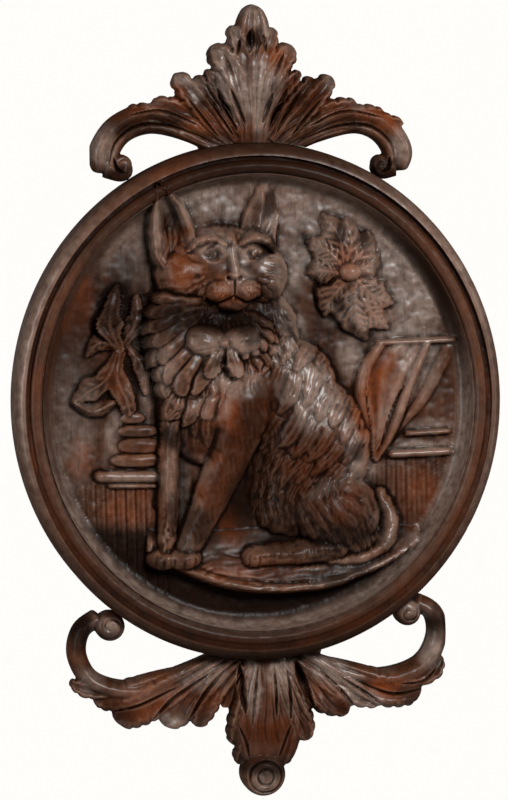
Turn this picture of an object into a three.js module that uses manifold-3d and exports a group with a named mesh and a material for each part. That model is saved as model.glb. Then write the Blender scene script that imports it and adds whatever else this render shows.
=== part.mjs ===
// A carved walnut wall plaque: an oval roundel with a moulded rim and a cat seated in high relief,
// an acanthus crest glued above it and an acanthus drop glued below it.
// Millimetres. +Z is up, the carved face looks along -Y, and the flat back lies in the plane Y = 0.
// The origin is the middle of the roundel's back. Depths are measured forwards from the back.
import * as THREE from "three";
import { mergeVertices } from "three/addons/utils/BufferGeometryUtils.js";
import Module from "manifold-3d";

const wasm = await Module();
wasm.setup();

// Driving dimensions
const RIM_HALF_WIDTH = 150;
const RIM_HALF_HEIGHT = 158.5;
const OVAL = RIM_HALF_HEIGHT / RIM_HALF_WIDTH;
const RIM_SIDES = 56; // flats round the rim
const GLUE_GAP = 0.3; // between the rim and what is glued to it
const WALL = 12; // depth of the flat ground behind the cat
const FOOT = 6; // depth at which every relief form stands inside the ground
const FORM_SIDES = 10; // flats round a rounded form

// three.js geometry to a solid and back
function solidOf(geometry) {
  const bare = new THREE.BufferGeometry().setAttribute("position", geometry.getAttribute("position"));
  if (geometry.index) bare.setIndex(geometry.index);
  const merged = mergeVertices(bare, 1e-4);
  return new wasm.Manifold(
    new wasm.Mesh({
      numProp: 3,
      vertProperties: merged.attributes.position.array,
      triVerts: new Uint32Array(merged.index.array),
    }),
  );
}

function geometryOf(solid) {
  const mesh = solid.getMesh();
  return new THREE.BufferGeometry()
    .setAttribute("position", new THREE.BufferAttribute(new Float32Array(mesh.vertProperties), 3))
    .setIndex(new THREE.BufferAttribute(new Uint32Array(mesh.triVerts), 1));
}

const joined = (solids) => solids.reduce((sum, solid) => sum.add(solid));
const lerp = THREE.MathUtils.lerp;
const clamp = THREE.MathUtils.clamp;

// A list of values spread evenly from 0 to 1, read at t
function along(values, t) {
  const place = t * (values.length - 1);
  const i = Math.min(Math.floor(place), values.length - 2);
  return lerp(values[i], values[i + 1], place - i);
}

// A section of radius and depth, as the profile LatheGeometry turns: it faces out when it runs front to back
const turnedProfile = (section) => section.map(([radius, depth]) => new THREE.Vector2(radius, -depth)).reverse();

// The ground and the rim's moulding, turned as one: cavetto, small arris, bead, groove and rounded outer band
const ROUNDEL_SECTION = [
  [0, 0],
  [RIM_HALF_WIDTH, 0],
  [RIM_HALF_WIDTH, 21],
  [149, 27.5],
  [146.8, 31.4],
  [143.6, 32.6],
  [142.8, 28.6],
  [141, 28.6],
  [140.2, 31.4],
  [137.6, 32.8],
  [134.8, 31],
  [133, 28],
  [129, 17.5],
  [124, WALL],
  [0, WALL],
];

function roundelBoard() {
  const board = new THREE.LatheGeometry(turnedProfile(ROUNDEL_SECTION), RIM_SIDES);
  board.scale(1, 1, OVAL);
  return solidOf(board);
}

// A rounded mass standing on the ground: an oval post below `low`, a half ellipsoid above it
function dome({ at, size, turn = 0, low, high, sides = FORM_SIDES, rows = 3 }) {
  const section = [[0, FOOT], [1, FOOT]];
  for (let i = 0; i < rows; i++) {
    const angle = ((Math.PI / 2) * i) / rows;
    section.push([Math.cos(angle), low + (high - low) * Math.sin(angle)]);
  }
  section.push([0, high]);
  const mass = new THREE.LatheGeometry(turnedProfile(section), sides);
  mass.scale(size[0], 1, size[1]);
  mass.rotateY(-THREE.MathUtils.degToRad(turn));
  mass.translate(at[0], 0, at[1]);
  return solidOf(mass);
}

// A tapered rounded limb from one point to another
function limb({ from, to, half, low, high, sides = 8 }) {
  const start = new THREE.Vector3(from[0], 0, from[1]);
  const way = new THREE.Vector3(to[0], 0, to[1]).sub(start);
  const length = way.length();
  way.normalize();
  const capsule = new THREE.CapsuleGeometry(1, length, 2, sides);
  const position = capsule.getAttribute("position");
  for (let i = 0; i < position.count; i++) {
    const t = clamp(position.getY(i) / length + 0.5, 0, 1);
    const past = position.getY(i) - clamp(position.getY(i), -length / 2, length / 2);
    const width = lerp(half[0], half[1], t);
    const rise = position.getZ(i);
    const behind = rise < -1e-6; // the rear half becomes upright sides that stand in the ground
    const depth = behind ? FOOT : low + (lerp(high[0], high[1], t) - low) * rise;
    const across = Math.abs(position.getX(i)) > 1e-6 ? position.getX(i) : 0;
    const side = (behind ? Math.sign(across) * Math.hypot(across, rise) : across) * width;
    const run = t * length + past * width;
    position.setXYZ(i, start.x + way.x * run + way.z * side, -depth, start.z + way.z * run - way.x * side);
  }
  return solidOf(capsule);
}

// A carved leaf: a bar bent along a spine, whose section gives the share of its thickness from edge to edge.
// `level` flattens the section towards the tip.
const RIDGED = [0.62, 1, 0.62];
const VEINED = [0.66, 0.74, 1, 0.74, 0.66];
const CUPPED = [1, 0.66, 0.5, 0.66, 1];

function leaf({ spine, half, thick, section = RIDGED, level = 0, back = 0, rows = 3 }) {
  const points = spine.map(([x, z]) => new THREE.Vector3(x, 0, z));
  const curve = points.length === 2 ? new THREE.LineCurve3(...points) : new THREE.CatmullRomCurve3(points);
  const bar = new THREE.BoxGeometry(2, 1, 1, section.length - 1, 1, rows);
  const position = bar.getAttribute("position");
  for (let i = 0; i < position.count; i++) {
    const across = position.getX(i);
    const t = position.getZ(i) + 0.5;
    const centre = curve.getPoint(t);
    const tangent = curve.getTangent(t);
    const out = along(half, t) * across;
    const share = lerp(along(section, (across + 1) / 2), 1, level * t * t);
    const depth = position.getY(i) < 0 ? along(thick, t) * share : back;
    position.setXYZ(i, centre.x + tangent.z * out, -depth, centre.z - tangent.x * out);
  }
  return solidOf(bar);
}

// A flat raised shape with straight edges, standing on the ground
function panel({ outline, high }) {
  const shape = new THREE.Shape(outline.map(([x, z]) => new THREE.Vector2(x, z)));
  const sheet = new THREE.ExtrudeGeometry(shape, { depth: high - FOOT, bevelEnabled: false });
  sheet.rotateX(Math.PI / 2);
  sheet.translate(0, -FOOT, 0);
  return solidOf(sheet);
}

// The floor the cat sits on: it slopes forwards to an arc, and below it the carving is cut away
const FLOOR_BACK = -80; // height at which it leaves the wall
const FLOOR_DEPTHS = [WALL, 28]; // at the wall and at the middle of its front edge
const FLOOR_CENTRE = [18, 40];
const FLOOR_RADIUS = 160;
const FLOOR_STEPS = 18;

function floorLedge() {
  const rise = FLOOR_CENTRE[1] - FLOOR_BACK;
  const reach = Math.acos(rise / FLOOR_RADIUS);
  const shape = new THREE.Shape();
  for (let i = 0; i <= FLOOR_STEPS; i++) {
    const angle = lerp(-reach, reach, i / FLOOR_STEPS);
    const x = FLOOR_CENTRE[0] + FLOOR_RADIUS * Math.sin(angle);
    const z = FLOOR_CENTRE[1] - FLOOR_RADIUS * Math.cos(angle);
    if (i === 0) shape.moveTo(x, z);
    else shape.lineTo(x, z);
  }
  const ledge = new THREE.ExtrudeGeometry(shape, { depth: 1, bevelEnabled: false });
  const position = ledge.getAttribute("position");
  for (let i = 0; i < position.count; i++) {
    const z = position.getY(i);
    const share = (FLOOR_BACK - z) / (FLOOR_RADIUS - rise);
    const depth = position.getZ(i) > 0.5 ? lerp(FLOOR_DEPTHS[0], FLOOR_DEPTHS[1], share) : FOOT;
    position.setXYZ(i, position.getX(i), -depth, z);
  }
  return solidOf(ledge);
}

// The cat: body first, then limbs, ribbon and head
const BODY = [
  { at: [30, -24], size: [72, 33], turn: -59, low: 13, high: 31, sides: 16 },
  { at: [3, 24], size: [31, 37], turn: 12, low: 14, high: 28, sides: 12 },
  { at: [-26, 2], size: [27, 42], low: 14, high: 27 },
  { at: [50, -69], size: [33, 27], turn: -24, low: 14, high: 35, sides: 14 },
  { at: [25, -94], size: [27, 8], turn: -3, low: 16, high: 32 },
  { at: [-6, -2], size: [19, 31], turn: -15, low: 16, high: 36, sides: 14 },
  { at: [-55, -98], size: [11, 6.5], low: 16, high: 29 },
  { at: [-39, -96], size: [13, 7.5], low: 17, high: 33 },
];
const LIMBS = [
  { from: [80, -64], to: [84, -87], half: [6, 5.5], low: 12, high: [20, 22] },
  { from: [-47, 0], to: [-53, -93], half: [8, 5.5], low: 14, high: [25, 25] },
  { from: [-6, -22], to: [-37, -90], half: [10.5, 7], low: 15, high: [33, 29] },
];
const RIBBON = [
  { at: [-18, 54], size: [38, 19], low: 14, high: 25, rows: 2 },
  { at: [-32, 38], size: [12, 9], turn: -8, low: 18, high: 34, sides: 8 },
  { at: [-8, 38], size: [12, 9], turn: 8, low: 18, high: 35, sides: 8 },
  { at: [-20, 37], size: [4.5, 6], low: 18, high: 36, sides: 8 },
];
// Where each pleat of the ruff under the ribbon ends
const PLEAT_ROOT = [-20, 48];
const PLEAT_ENDS = [
  [-64, 34],
  [-59, 19],
  [-49, 9],
  [-37, 8],
  [-26, 16],
  [-6, 25],
  [9, 31],
];
const HEAD = [
  { at: [-18, 84], size: [37, 27], low: 18, high: 37, sides: 16 },
  { at: [-43, 96], size: [13, 12], low: 18, high: 29 },
  { at: [8, 95], size: [13, 12], low: 18, high: 28 },
  { at: [-40, 72], size: [16, 15], turn: 20, low: 18, high: 33 },
  { at: [6, 73], size: [17, 15], turn: -20, low: 18, high: 33 },
  { at: [-18, 88], size: [9, 17], low: 20, high: 40 },
  { at: [-27, 66], size: [11.5, 9.5], turn: 10, low: 22, high: 41.5 },
  { at: [-10, 66], size: [11.5, 9.5], turn: -10, low: 22, high: 41.5 },
  { at: [-18.5, 56.5], size: [9, 5], low: 22, high: 37, sides: 8 },
  { at: [-18.5, 75], size: [6, 4], low: 24, high: 43, sides: 8, rows: 2 },
];
const BROWS = [
  { from: [-38, 97], to: [-24, 93], half: [3, 2.4], low: 20, high: [36, 40], sides: 6 },
  { from: [1, 97], to: [-12, 93], half: [3, 2.4], low: 20, high: [36, 40], sides: 6 },
];
const EARS = [
  { spine: [[-43, 90], [-49, 112], [-55, 135]], half: [11, 12.5, 9, 1.2], thick: [30, 33, 35, 35], level: 0.9 },
  { spine: [[5, 90], [7, 110], [9, 130]], half: [11, 12.5, 9.5, 1.2], thick: [30, 31, 29, 24], level: 0.4 },
];
const EYE_AT = [[-32, 86, -12], [-5, 86, 12]]; // across, up and turn
const EYE_SOCKET = [9, 6, 7]; // half-sizes across, in depth and up
const EYE_BALL = [6.4, 5.2];
const EYE_DEPTH = 35; // of the face round the eyes
const EYE_SOCKET_DEPTH = EYE_DEPTH + 4; // of the middle of the hollow bowl
const EYE_BALL_DEPTH = EYE_DEPTH + 1.6;

function catSolid() {
  const pleats = PLEAT_ENDS.map((end) =>
    leaf({ spine: [PLEAT_ROOT, end], half: [2, 5, 7.5, 5.5], thick: [29, 31, 31, 29], back: FOOT }),
  );
  const ears = EARS.map((sizes) => leaf({ ...sizes, section: CUPPED, back: FOOT, rows: 4 }));
  const sockets = EYE_AT.map(([x, z, turn]) => {
    const bowl = new THREE.SphereGeometry(1, 10, 8);
    bowl.scale(...EYE_SOCKET);
    bowl.rotateY(-THREE.MathUtils.degToRad(turn));
    bowl.translate(x, -EYE_SOCKET_DEPTH, z);
    return solidOf(bowl);
  });
  const balls = EYE_AT.map(([x, z, turn]) =>
    dome({ at: [x, z], size: EYE_BALL, turn, low: 26, high: EYE_BALL_DEPTH, sides: 8, rows: 2 }),
  );
  const head = joined([...HEAD.map(dome), ...BROWS.map(limb)]).subtract(joined(sockets));
  return joined([...BODY.map(dome), ...LIMBS.map(limb), ...pleats, ...RIBBON.map(dome), ...ears, head, ...balls]);
}

// The room behind the cat: stand with a flower on the left, leafy spray, curtain and rails on the right
const STAND = [
  { at: [-84, 62], size: [6, 12], low: 13, high: 17, rows: 2, sides: 8 },
  { at: [-75, -14], size: [13, 4], low: 13, high: 17, rows: 2, sides: 8 },
  { at: [-75, -24], size: [16, 5], low: 13, high: 18, rows: 2, sides: 8 },
  { at: [-75, -35], size: [19, 4.5], low: 13, high: 18, rows: 2, sides: 8 },
];
const STALKS = [
  { from: [-84, 50], to: [-84, 30], half: [2.5, 4], low: 12, high: [14.5, 16], sides: 6 },
  { from: [-83, 30], to: [-77, 4], half: [4, 8], low: 12, high: [16, 17], sides: 6 },
  { from: [-85, 26], to: [-101, -3], half: [3.5, 5], low: 12, high: [15.5, 17], sides: 6 },
  { from: [-124, -43], to: [-58, -43], half: [3.2, 3.2], low: 12, high: [16, 16], sides: 6 },
  { from: [90, -32], to: [124, -32], half: [3, 3], low: 12, high: [16, 16], sides: 6 },
  { from: [98, -19], to: [124, -19], half: [2, 2], low: 12, high: [14.5, 14.5], sides: 6 },
];
const SPRAY_HEART = { at: [56, 80], size: [15, 22], turn: 30, low: 13, high: 20 };
// Each leaf of the spray, from where it springs to its tip
const SPRAY = [
  [[48, 92], [42, 115]],
  [[52, 92], [60, 109]],
  [[58, 88], [75, 98]],
  [[62, 80], [84, 79]],
  [[66, 72], [84, 59]],
  [[68, 62], [76, 33]],
  [[60, 70], [58, 49]],
  [[50, 78], [40, 60]],
  [[46, 90], [28, 85]],
];
const CURTAIN = { outline: [[82, 34], [122, 34], [122, -14], [74, -38], [66, -2], [71, 14]], high: 14.5 };
const CURTAIN_FOLDS = [
  { spine: [[82, 33], [72, 17], [66, -2]], half: [3, 4, 3.4, 1.5], thick: [18, 18, 18, 15], rows: 5 },
  { spine: [[106, 33], [96, 8], [84, -18], [73, -38]], half: [4, 5, 5, 3, 1.5], thick: [18, 19, 19, 18, 15], rows: 6 },
  { spine: [[80, 33], [101, 33.5], [122, 34]], half: [2, 2, 2], thick: [18, 17, 17], rows: 2 },
];

function roomSolid() {
  const folds = CURTAIN_FOLDS.map((sizes) => leaf({ ...sizes, back: FOOT }));
  const spray = SPRAY.map((spine) => leaf({ spine, half: [3, 8, 8, 3], thick: [21, 23, 22, 17], back: FOOT }));
  const rounded = [...STAND, SPRAY_HEART].map(dome);
  return joined([...rounded, ...STALKS.map(limb), ...spray, panel(CURTAIN), ...folds, floorLedge()]);
}

// A turned button or volute end, facing forwards
function button({ at, radius, thick, sides }) {
  const section = [
    [0, 0],
    [radius, 0],
    [radius, thick * 0.6],
    [radius * 0.74, thick * 0.92],
    [radius * 0.42, thick * 0.86],
    [0, thick],
  ];
  const turned = new THREE.LatheGeometry(turnedProfile(section), sides);
  turned.translate(at[0], 0, at[1]);
  return solidOf(turned);
}

// Crest: a broad upright leaf, a leaning leaf each side, and two arms that curl down onto the rim.
// Lobes are given for the right-hand side, and the left-hand ones mirror them.
const CREST_MIDDLE = [
  { spine: [[0, 148], [0, 178]], half: [36, 20, 8], thick: [14, 15, 16], rows: 2 },
  { spine: [[0, 150], [0, 226]], half: [10, 10, 15, 22, 14], thick: [17, 18, 19, 19, 19], section: VEINED, rows: 4 },
  { spine: [[0, 196], [0, 243]], half: [8, 11, 9.5, 7.5, 2.5], thick: [20, 21, 22, 22, 20], rows: 4 },
];
const CREST_SIDE = [
  { spine: [[4, 196], [15, 228.5]], half: [5, 7, 6.5, 2.5], thick: [18, 20, 19, 17] },
  { spine: [[4, 178], [28, 219]], half: [4, 8, 9, 3.5], thick: [17, 19, 19, 16] },
  { spine: [[3, 168], [32, 205]], half: [3, 7, 7, 2.5], thick: [16, 18, 18, 14] },
  { spine: [[5, 154], [25, 178], [40, 202]], half: [6, 6, 7, 6, 2.5], thick: [14, 16, 17, 14], rows: 4 },
  { spine: [[9, 154], [34, 176], [51, 200]], half: [4, 8, 9, 9, 4], thick: [14, 17, 18, 14], rows: 4 },
  { spine: [[12, 154], [36, 172], [54, 189]], half: [4, 6, 7, 5, 2.5], thick: [13, 15, 16, 13] },
  {
    spine: [[12, 154], [40, 172], [66, 176], [84, 169], [91, 153], [86, 136]],
    half: [6, 8, 9, 9, 9.5, 9.5, 9, 7],
    thick: [14, 15, 17, 18, 18, 17, 16, 14],
    section: VEINED,
    rows: 8,
  },
  { spine: [[44, 172], [67, 185]], half: [4, 6, 6, 3], thick: [14, 16, 16, 14] },
  { spine: [[66, 172], [94, 171]], half: [5, 8, 8, 3], thick: [14, 16, 16, 14] },
];
const CREST_BUTTON = { at: [80, 148], radius: 7, thick: 16, sides: 10 };

// Drop: a hanging leaf that ends in a turned button, then two ragged leaves whose stems curl up onto the rim
const DROP_MIDDLE = [
  { spine: [[4, -148], [4, -178]], half: [38, 24, 14], thick: [14, 15, 16], rows: 2 },
  { spine: [[5, -150], [1, -232]], half: [14, 19, 20, 16, 12], thick: [16, 18, 20, 22, 20], section: VEINED, rows: 4 },
  { spine: [[5, -150], [1, -228]], half: [6, 8, 9, 8, 6], thick: [18, 21, 23, 24, 20] },
  { spine: [[-4, -160], [-23, -214]], half: [6, 8, 8, 6, 3], thick: [17, 19, 19, 17, 14] },
  { spine: [[14, -158], [29, -216]], half: [7, 10, 11, 9, 4], thick: [17, 19, 19, 18, 14] },
  { spine: [[-3, -190], [-17, -228]], half: [5, 6, 6, 3], thick: [17, 18, 17, 14] },
  { spine: [[6, -190], [20, -228]], half: [5, 6, 6, 3], thick: [17, 18, 17, 14] },
];
const DROP_SIDE = [
  { spine: [[12, -154], [41, -202]], half: [6, 9, 9, 3], thick: [15, 17, 17, 14] },
  { spine: [[16, -154], [40, -172], [60, -201]], half: [5, 9, 12, 12, 7], thick: [15, 17, 17, 14], rows: 4 },
  { spine: [[24, -156], [56, -172], [84, -198]], half: [5, 9, 12, 12, 8], thick: [15, 17, 16, 14], rows: 4 },
  { spine: [[50, -166], [80, -178], [104, -185]], half: [5, 9, 10, 9, 6], thick: [14, 16, 15, 13] },
  { spine: [[84, -174], [104, -173], [117, -166]], half: [4, 6, 5, 1.5], thick: [13, 15, 13, 11] },
  {
    spine: [[14, -152], [46, -164], [80, -170], [103, -162], [111, -146], [104, -131], [93, -128]],
    half: [4, 5, 5, 6.5, 6.5, 6, 5.5, 5.5, 5.5],
    thick: [14, 16, 17, 17, 16, 15, 15, 14, 14],
    rows: 11,
  },
];
const DROP_BUTTONS = [
  { at: [-92, -138], radius: 8.6, thick: 17, sides: 12 },
  { at: [92, -138], radius: 8.6, thick: 17, sides: 12 },
  { at: [1, -231], radius: 13.5, thick: 25, sides: 16 },
];
const CREST_TILT = 0; // degrees counterclockwise from the front
const DROP_TILT = 1.6;

// The rim with its glue gap, cut out of what is glued to it
function rimClearance() {
  const plug = new THREE.CylinderGeometry(1, 1, 200, RIM_SIDES);
  plug.scale(RIM_HALF_WIDTH + GLUE_GAP, 1, RIM_HALF_HEIGHT + GLUE_GAP);
  return solidOf(plug);
}

const mirrored = (sizes) => ({ ...sizes, spine: sizes.spine.map(([x, z]) => [-x, z]) });

function ornament({ middle, side, buttons, tilt, pivot }) {
  const leaves = [...middle, ...side, ...side.map(mirrored)].map(leaf);
  const whole = geometryOf(joined([...leaves, ...buttons.map(button)]));
  whole.translate(0, 0, -pivot);
  whole.rotateY(-THREE.MathUtils.degToRad(tilt));
  whole.translate(0, 0, pivot);
  return solidOf(whole).subtract(rimClearance());
}

const crest = ornament({
  middle: CREST_MIDDLE,
  side: CREST_SIDE,
  buttons: [CREST_BUTTON, { ...CREST_BUTTON, at: [-CREST_BUTTON.at[0], CREST_BUTTON.at[1]] }],
  tilt: CREST_TILT,
  pivot: 180,
});
const drop = ornament({
  middle: DROP_MIDDLE,
  side: DROP_SIDE,
  buttons: DROP_BUTTONS,
  tilt: DROP_TILT,
  pivot: -200,
});

// The three carved pieces
const walnut = new THREE.MeshStandardMaterial({ color: 0x3a1d12, roughness: 0.42, metalness: 0 });
const pieces = { roundel: joined([roundelBoard(), roomSolid(), catSolid()]), crest, drop };

const plaque = new THREE.Group();
for (const [name, solid] of Object.entries(pieces)) {
  const mesh = new THREE.Mesh(geometryOf(solid), walnut.clone());
  mesh.name = name;
  plaque.add(mesh);
}

export default plaque;
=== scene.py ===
# %% [markdown]
# # A carved walnut plaque
# The plaque is three pieces of dark waxed walnut: an oval roundel with a cat carved in high relief inside
# a moulded rim, a leaf crest glued above it and a leaf drop glued below it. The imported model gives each
# piece's place and outline. This lesson carves the same forms again, far finer, and gives them their wax,
# wear and dirt. Depths are measured forwards from the flat back, so a depth d lies at y = -d.

# %% The frame
import math

import bpy
import numpy as np
from mathutils import Matrix, Vector


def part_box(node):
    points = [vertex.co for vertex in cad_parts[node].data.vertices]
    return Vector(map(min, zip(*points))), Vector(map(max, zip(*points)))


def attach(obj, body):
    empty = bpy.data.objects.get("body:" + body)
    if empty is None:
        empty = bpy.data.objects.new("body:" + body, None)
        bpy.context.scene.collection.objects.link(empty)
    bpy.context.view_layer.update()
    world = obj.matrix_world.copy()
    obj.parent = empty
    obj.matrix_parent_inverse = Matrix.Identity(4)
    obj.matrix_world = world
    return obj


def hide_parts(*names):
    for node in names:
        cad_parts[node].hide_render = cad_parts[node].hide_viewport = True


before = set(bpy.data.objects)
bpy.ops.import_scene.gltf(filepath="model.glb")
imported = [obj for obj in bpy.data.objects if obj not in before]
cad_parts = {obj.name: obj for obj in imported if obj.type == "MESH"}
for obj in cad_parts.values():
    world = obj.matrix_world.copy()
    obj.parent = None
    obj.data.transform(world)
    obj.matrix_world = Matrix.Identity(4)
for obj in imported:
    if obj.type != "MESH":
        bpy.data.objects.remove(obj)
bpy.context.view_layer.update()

MM = 0.001
print("pieces to carve:", sorted(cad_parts))

# %% [markdown]
# ## Camera
# The photograph looks at the plaque almost straight on, a little from the left and from above, and the
# plaque hangs about half a degree out of true. A long lens keeps the outline as flat as the photo shows it.

# %% Camera
PHOTO_HEIGHT = 0.4905  # metres of the plaque's plane that the frame takes in from top to bottom
LENS = 300
SENSOR = 36
LOOK_AZIMUTH = -7
LOOK_ELEVATION = 5
HANG_TILT = 0.6  # degrees that the top leans to the left
AIM = Vector((-0.0014, -0.015, 0.0008))


def set_camera():
    azimuth = math.radians(LOOK_AZIMUTH)
    elevation = math.radians(LOOK_ELEVATION)
    back = Vector((
        math.sin(azimuth) * math.cos(elevation),
        -math.cos(azimuth) * math.cos(elevation),
        math.sin(elevation),
    ))
    bpy.ops.object.camera_add(location=AIM + back * PHOTO_HEIGHT * LENS / SENSOR)
    camera = bpy.context.object
    camera.name = "camera"
    camera.data.lens = LENS
    camera.data.sensor_width = SENSOR
    camera.rotation_mode = "QUATERNION"
    roll = Matrix.Rotation(math.radians(-HANG_TILT), 3, back).to_quaternion()
    camera.rotation_quaternion = roll @ (-back).to_track_quat("-Z", "Y")
    bpy.context.scene.camera = camera
    return camera


camera = set_camera()
print("camera stands", round((camera.location - AIM).length, 2), "m away")

# %% [markdown]
# ## Light
# A soft lamp stands in front, high and a little to the right, so that each form throws a short shadow down
# and to the left. A tall strip at either side draws grey lines of light along the mouldings. The pale
# surround lights the wood only faintly. The plaque hangs, so the pale floor is well below it.

# %% Light and floor
FLOOR_DROP = 0.9
FLOOR_SIZE = 2.4
FLOOR_PAINT = (0.8, 0.79, 0.77, 1)
FLOOR_ROUGHNESS = 0.8
LAMPS = [  # name, place, size across and up, watts; each is aimed at the roundel's middle
    ("key", (0.42, -1.48, 0.66), (0.36, 0.36), 31),
    ("left strip", (-1.3, -0.55, 0.15), (0.3, 1.2), 10),
    ("right strip", (1.35, -0.4, 0.1), (0.3, 1.2), 6),
]
SURROUND = (1.0, 0.985, 0.96, 1)
SURROUND_LIGHT = 0.05
SURROUND_SEEN = 1.0


def soft_lamp(name, place, size, watts):
    bpy.ops.object.light_add(type="AREA", location=place)
    lamp = bpy.context.object
    lamp.name = name
    lamp.data.shape = "RECTANGLE"
    lamp.data.size, lamp.data.size_y = size
    lamp.data.energy = watts
    lamp.rotation_euler = (-Vector(place)).to_track_quat("-Z", "Y").to_euler()


def pale_surround():
    world = bpy.data.worlds.new("studio")
    bpy.context.scene.world = world
    world.use_nodes = True
    nodes, links = world.node_tree.nodes, world.node_tree.links
    nodes.clear()
    out = nodes.new("ShaderNodeOutputWorld")
    mix = nodes.new("ShaderNodeMixShader")
    rays = nodes.new("ShaderNodeLightPath")
    links.new(rays.outputs["Is Camera Ray"], mix.inputs[0])
    for k, strength in enumerate((SURROUND_LIGHT, SURROUND_SEEN)):
        shader = nodes.new("ShaderNodeBackground")
        shader.inputs["Color"].default_value = SURROUND
        shader.inputs["Strength"].default_value = strength
        links.new(shader.outputs[0], mix.inputs[1 + k])
    links.new(mix.outputs[0], out.inputs["Surface"])


def pale_floor():
    bpy.ops.mesh.primitive_plane_add(size=FLOOR_SIZE, location=(0, -0.2, -FLOOR_DROP))
    floor = bpy.context.object
    floor.name = "floor"
    paint = bpy.data.materials.new("pale floor")
    paint.use_nodes = True
    shader = paint.node_tree.nodes["Principled BSDF"]
    shader.inputs["Base Color"].default_value = FLOOR_PAINT
    shader.inputs["Roughness"].default_value = FLOOR_ROUGHNESS
    floor.data.materials.append(paint)


for lamp in LAMPS:
    soft_lamp(*lamp)
pale_surround()
pale_floor()
bpy.context.scene.view_settings.view_transform = "Standard"
print("lamps:", [lamp[0] for lamp in LAMPS])

# %% [markdown]
# ## Carving tools
# A carver thinks in rounded masses, limbs and leaves that stand out of a flat ground. Here each tool is a
# small function that says how deep the wood stands at each point: a dome, a limb, a bent leaf, a run of
# gouge strokes. numpy works them out for all the points of a mesh at once. Where two forms meet, the
# higher one wins, with a rounded valley between them, narrow between leaves and wide between muscles.

# %% Carving tools: soft joins and noise
WALL_SLOPE = 6.0  # millimetres that a form's side falls for each millimetre outwards
VALLEY = 0.8  # how wide the valley is where two forms meet
BURIED = -60.0  # depth of a form where it isn't there at all


def higher(a, b, valley=VALLEY):
    share = np.clip(0.5 + 0.5 * (a - b) / valley, 0, 1)
    return b + (a - b) * share + valley * share * (1 - share)


def smooth_step(low, high, x):
    t = np.clip((x - low) / (high - low), 0, 1)
    return t * t * (3 - 2 * t)


def line_at(place, middle, half):
    """1 at one value, falling softly to 0 either side of it."""
    return np.exp(-(((place - middle) / half) ** 2))


def chance(i, j, seed):
    value = np.sin(i * 127.1 + j * 311.7 + seed * 74.7) * 43758.5453
    return value - np.floor(value)


def noise(x, z, size, seed=0):
    """Smooth random hills from -1 to 1, about `size` across."""
    u, v = x / size + seed * 17.3, z / size - seed * 9.1
    i, j = np.floor(u), np.floor(v)
    fu, fv = u - i, v - j
    fu, fv = fu * fu * (3 - 2 * fu), fv * fv * (3 - 2 * fv)
    low = chance(i, j, seed) * (1 - fu) + chance(i + 1, j, seed) * fu
    high = chance(i, j + 1, seed) * (1 - fu) + chance(i + 1, j + 1, seed) * fu
    return 2 * (low * (1 - fv) + high * fv) - 1


def waves(x, z, rows):
    """Adds up noises, each given by its height, size and seed."""
    return sum(height * noise(x, z, size, seed) for height, size, seed in rows)


def turned(x, z, at, degrees):
    """Coordinates along and across a direction, from a point."""
    cos, sin = math.cos(math.radians(degrees)), math.sin(math.radians(degrees))
    dx, dz = x - at[0], z - at[1]
    return dx * cos + dz * sin, dz * cos - dx * sin


def patch(x, z, at, size, turn=0, soft=0.35):
    """1 inside an oval patch and 0 outside, with a soft edge."""
    u, v = turned(x, z, at, turn)
    return 1 - smooth_step(1 - soft, 1 + soft, np.hypot(u / size[0], v / size[1]))


print("soft joins and noise are ready")

# %% Carving tools: gouge strokes and locks of hair
LOCK_TIP = (0.55, 0.7)  # where along a lock it starts to narrow, and how much width it loses
HAIRS = (0.14, 3.2)  # height of the single hairs in a lock, and how many lie side by side


def strokes(x, z, degrees, pitch, length, seed):
    """Short V-shaped gouge cuts side by side, 0 between them and 1 at the bottom of each."""
    run, side = turned(x, z, (0, 0), degrees)
    side = side + noise(x, z, 9, seed) * pitch * 0.5
    lane = np.floor(side / pitch)
    across = np.abs(side / pitch - lane - 0.5) * 2
    start = run / (length * (0.7 + 0.6 * chance(lane, 0, seed))) + chance(lane, 3, seed) * 7
    part = start - np.floor(start)
    strength = 0.55 + 0.45 * chance(lane, np.floor(start), seed + 1)
    return np.clip(1 - across * 1.15, 0, 1) * np.sin(np.pi * np.clip(part * 1.12, 0, 1)) * strength


def locks(run, side, pitch, length, seed):
    """Overlapping locks of hair that lie along `run`: 0 in the partings, 1 at a lock's lifted end."""
    lane = np.floor(side / pitch)
    across = side / pitch - lane - 0.5
    place = run / length + chance(lane, 1, seed)
    step = np.floor(place)
    part = place - step
    narrow = 1 - LOCK_TIP[1] * smooth_step(LOCK_TIP[0], 1.0, part)
    body = np.clip(1 - (2 * across / narrow) ** 2, 0, 1)
    lift = (0.3 + 0.7 * part) * (1 - smooth_step(0.9, 1.0, part))
    hairs = HAIRS[0] * np.cos(2 * np.pi * (across * HAIRS[1] + 0.3 * part))
    return (body * lift + hairs * body) * (0.6 + 0.4 * chance(lane, step, seed + 2))


def straight_locks(x, z, lie, pitch, length, seed):
    run, side = turned(x, z, (0, 0), lie)
    side = side + 0.5 * pitch * noise(x, z, pitch * 2.6, seed)
    run = run + 0.25 * length * noise(x, z, pitch * 3, seed + 1)
    return locks(run, side, pitch, length, seed)


def fan_locks(x, z, centre, count, length, seed):
    """Locks that spread out from a point, as fur does from a nose."""
    dx, dz = x - centre[0], z - centre[1]
    turn_share = np.arctan2(dz, dx) / (2 * math.pi) * count + 0.35 * noise(x, z, 9, seed)
    reach = np.hypot(dx, dz) + 2.0 * noise(x, z, 8, seed + 1)
    return locks(reach, turn_share, 1.0, length, seed)


print("gouges and locks are ready")

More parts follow.
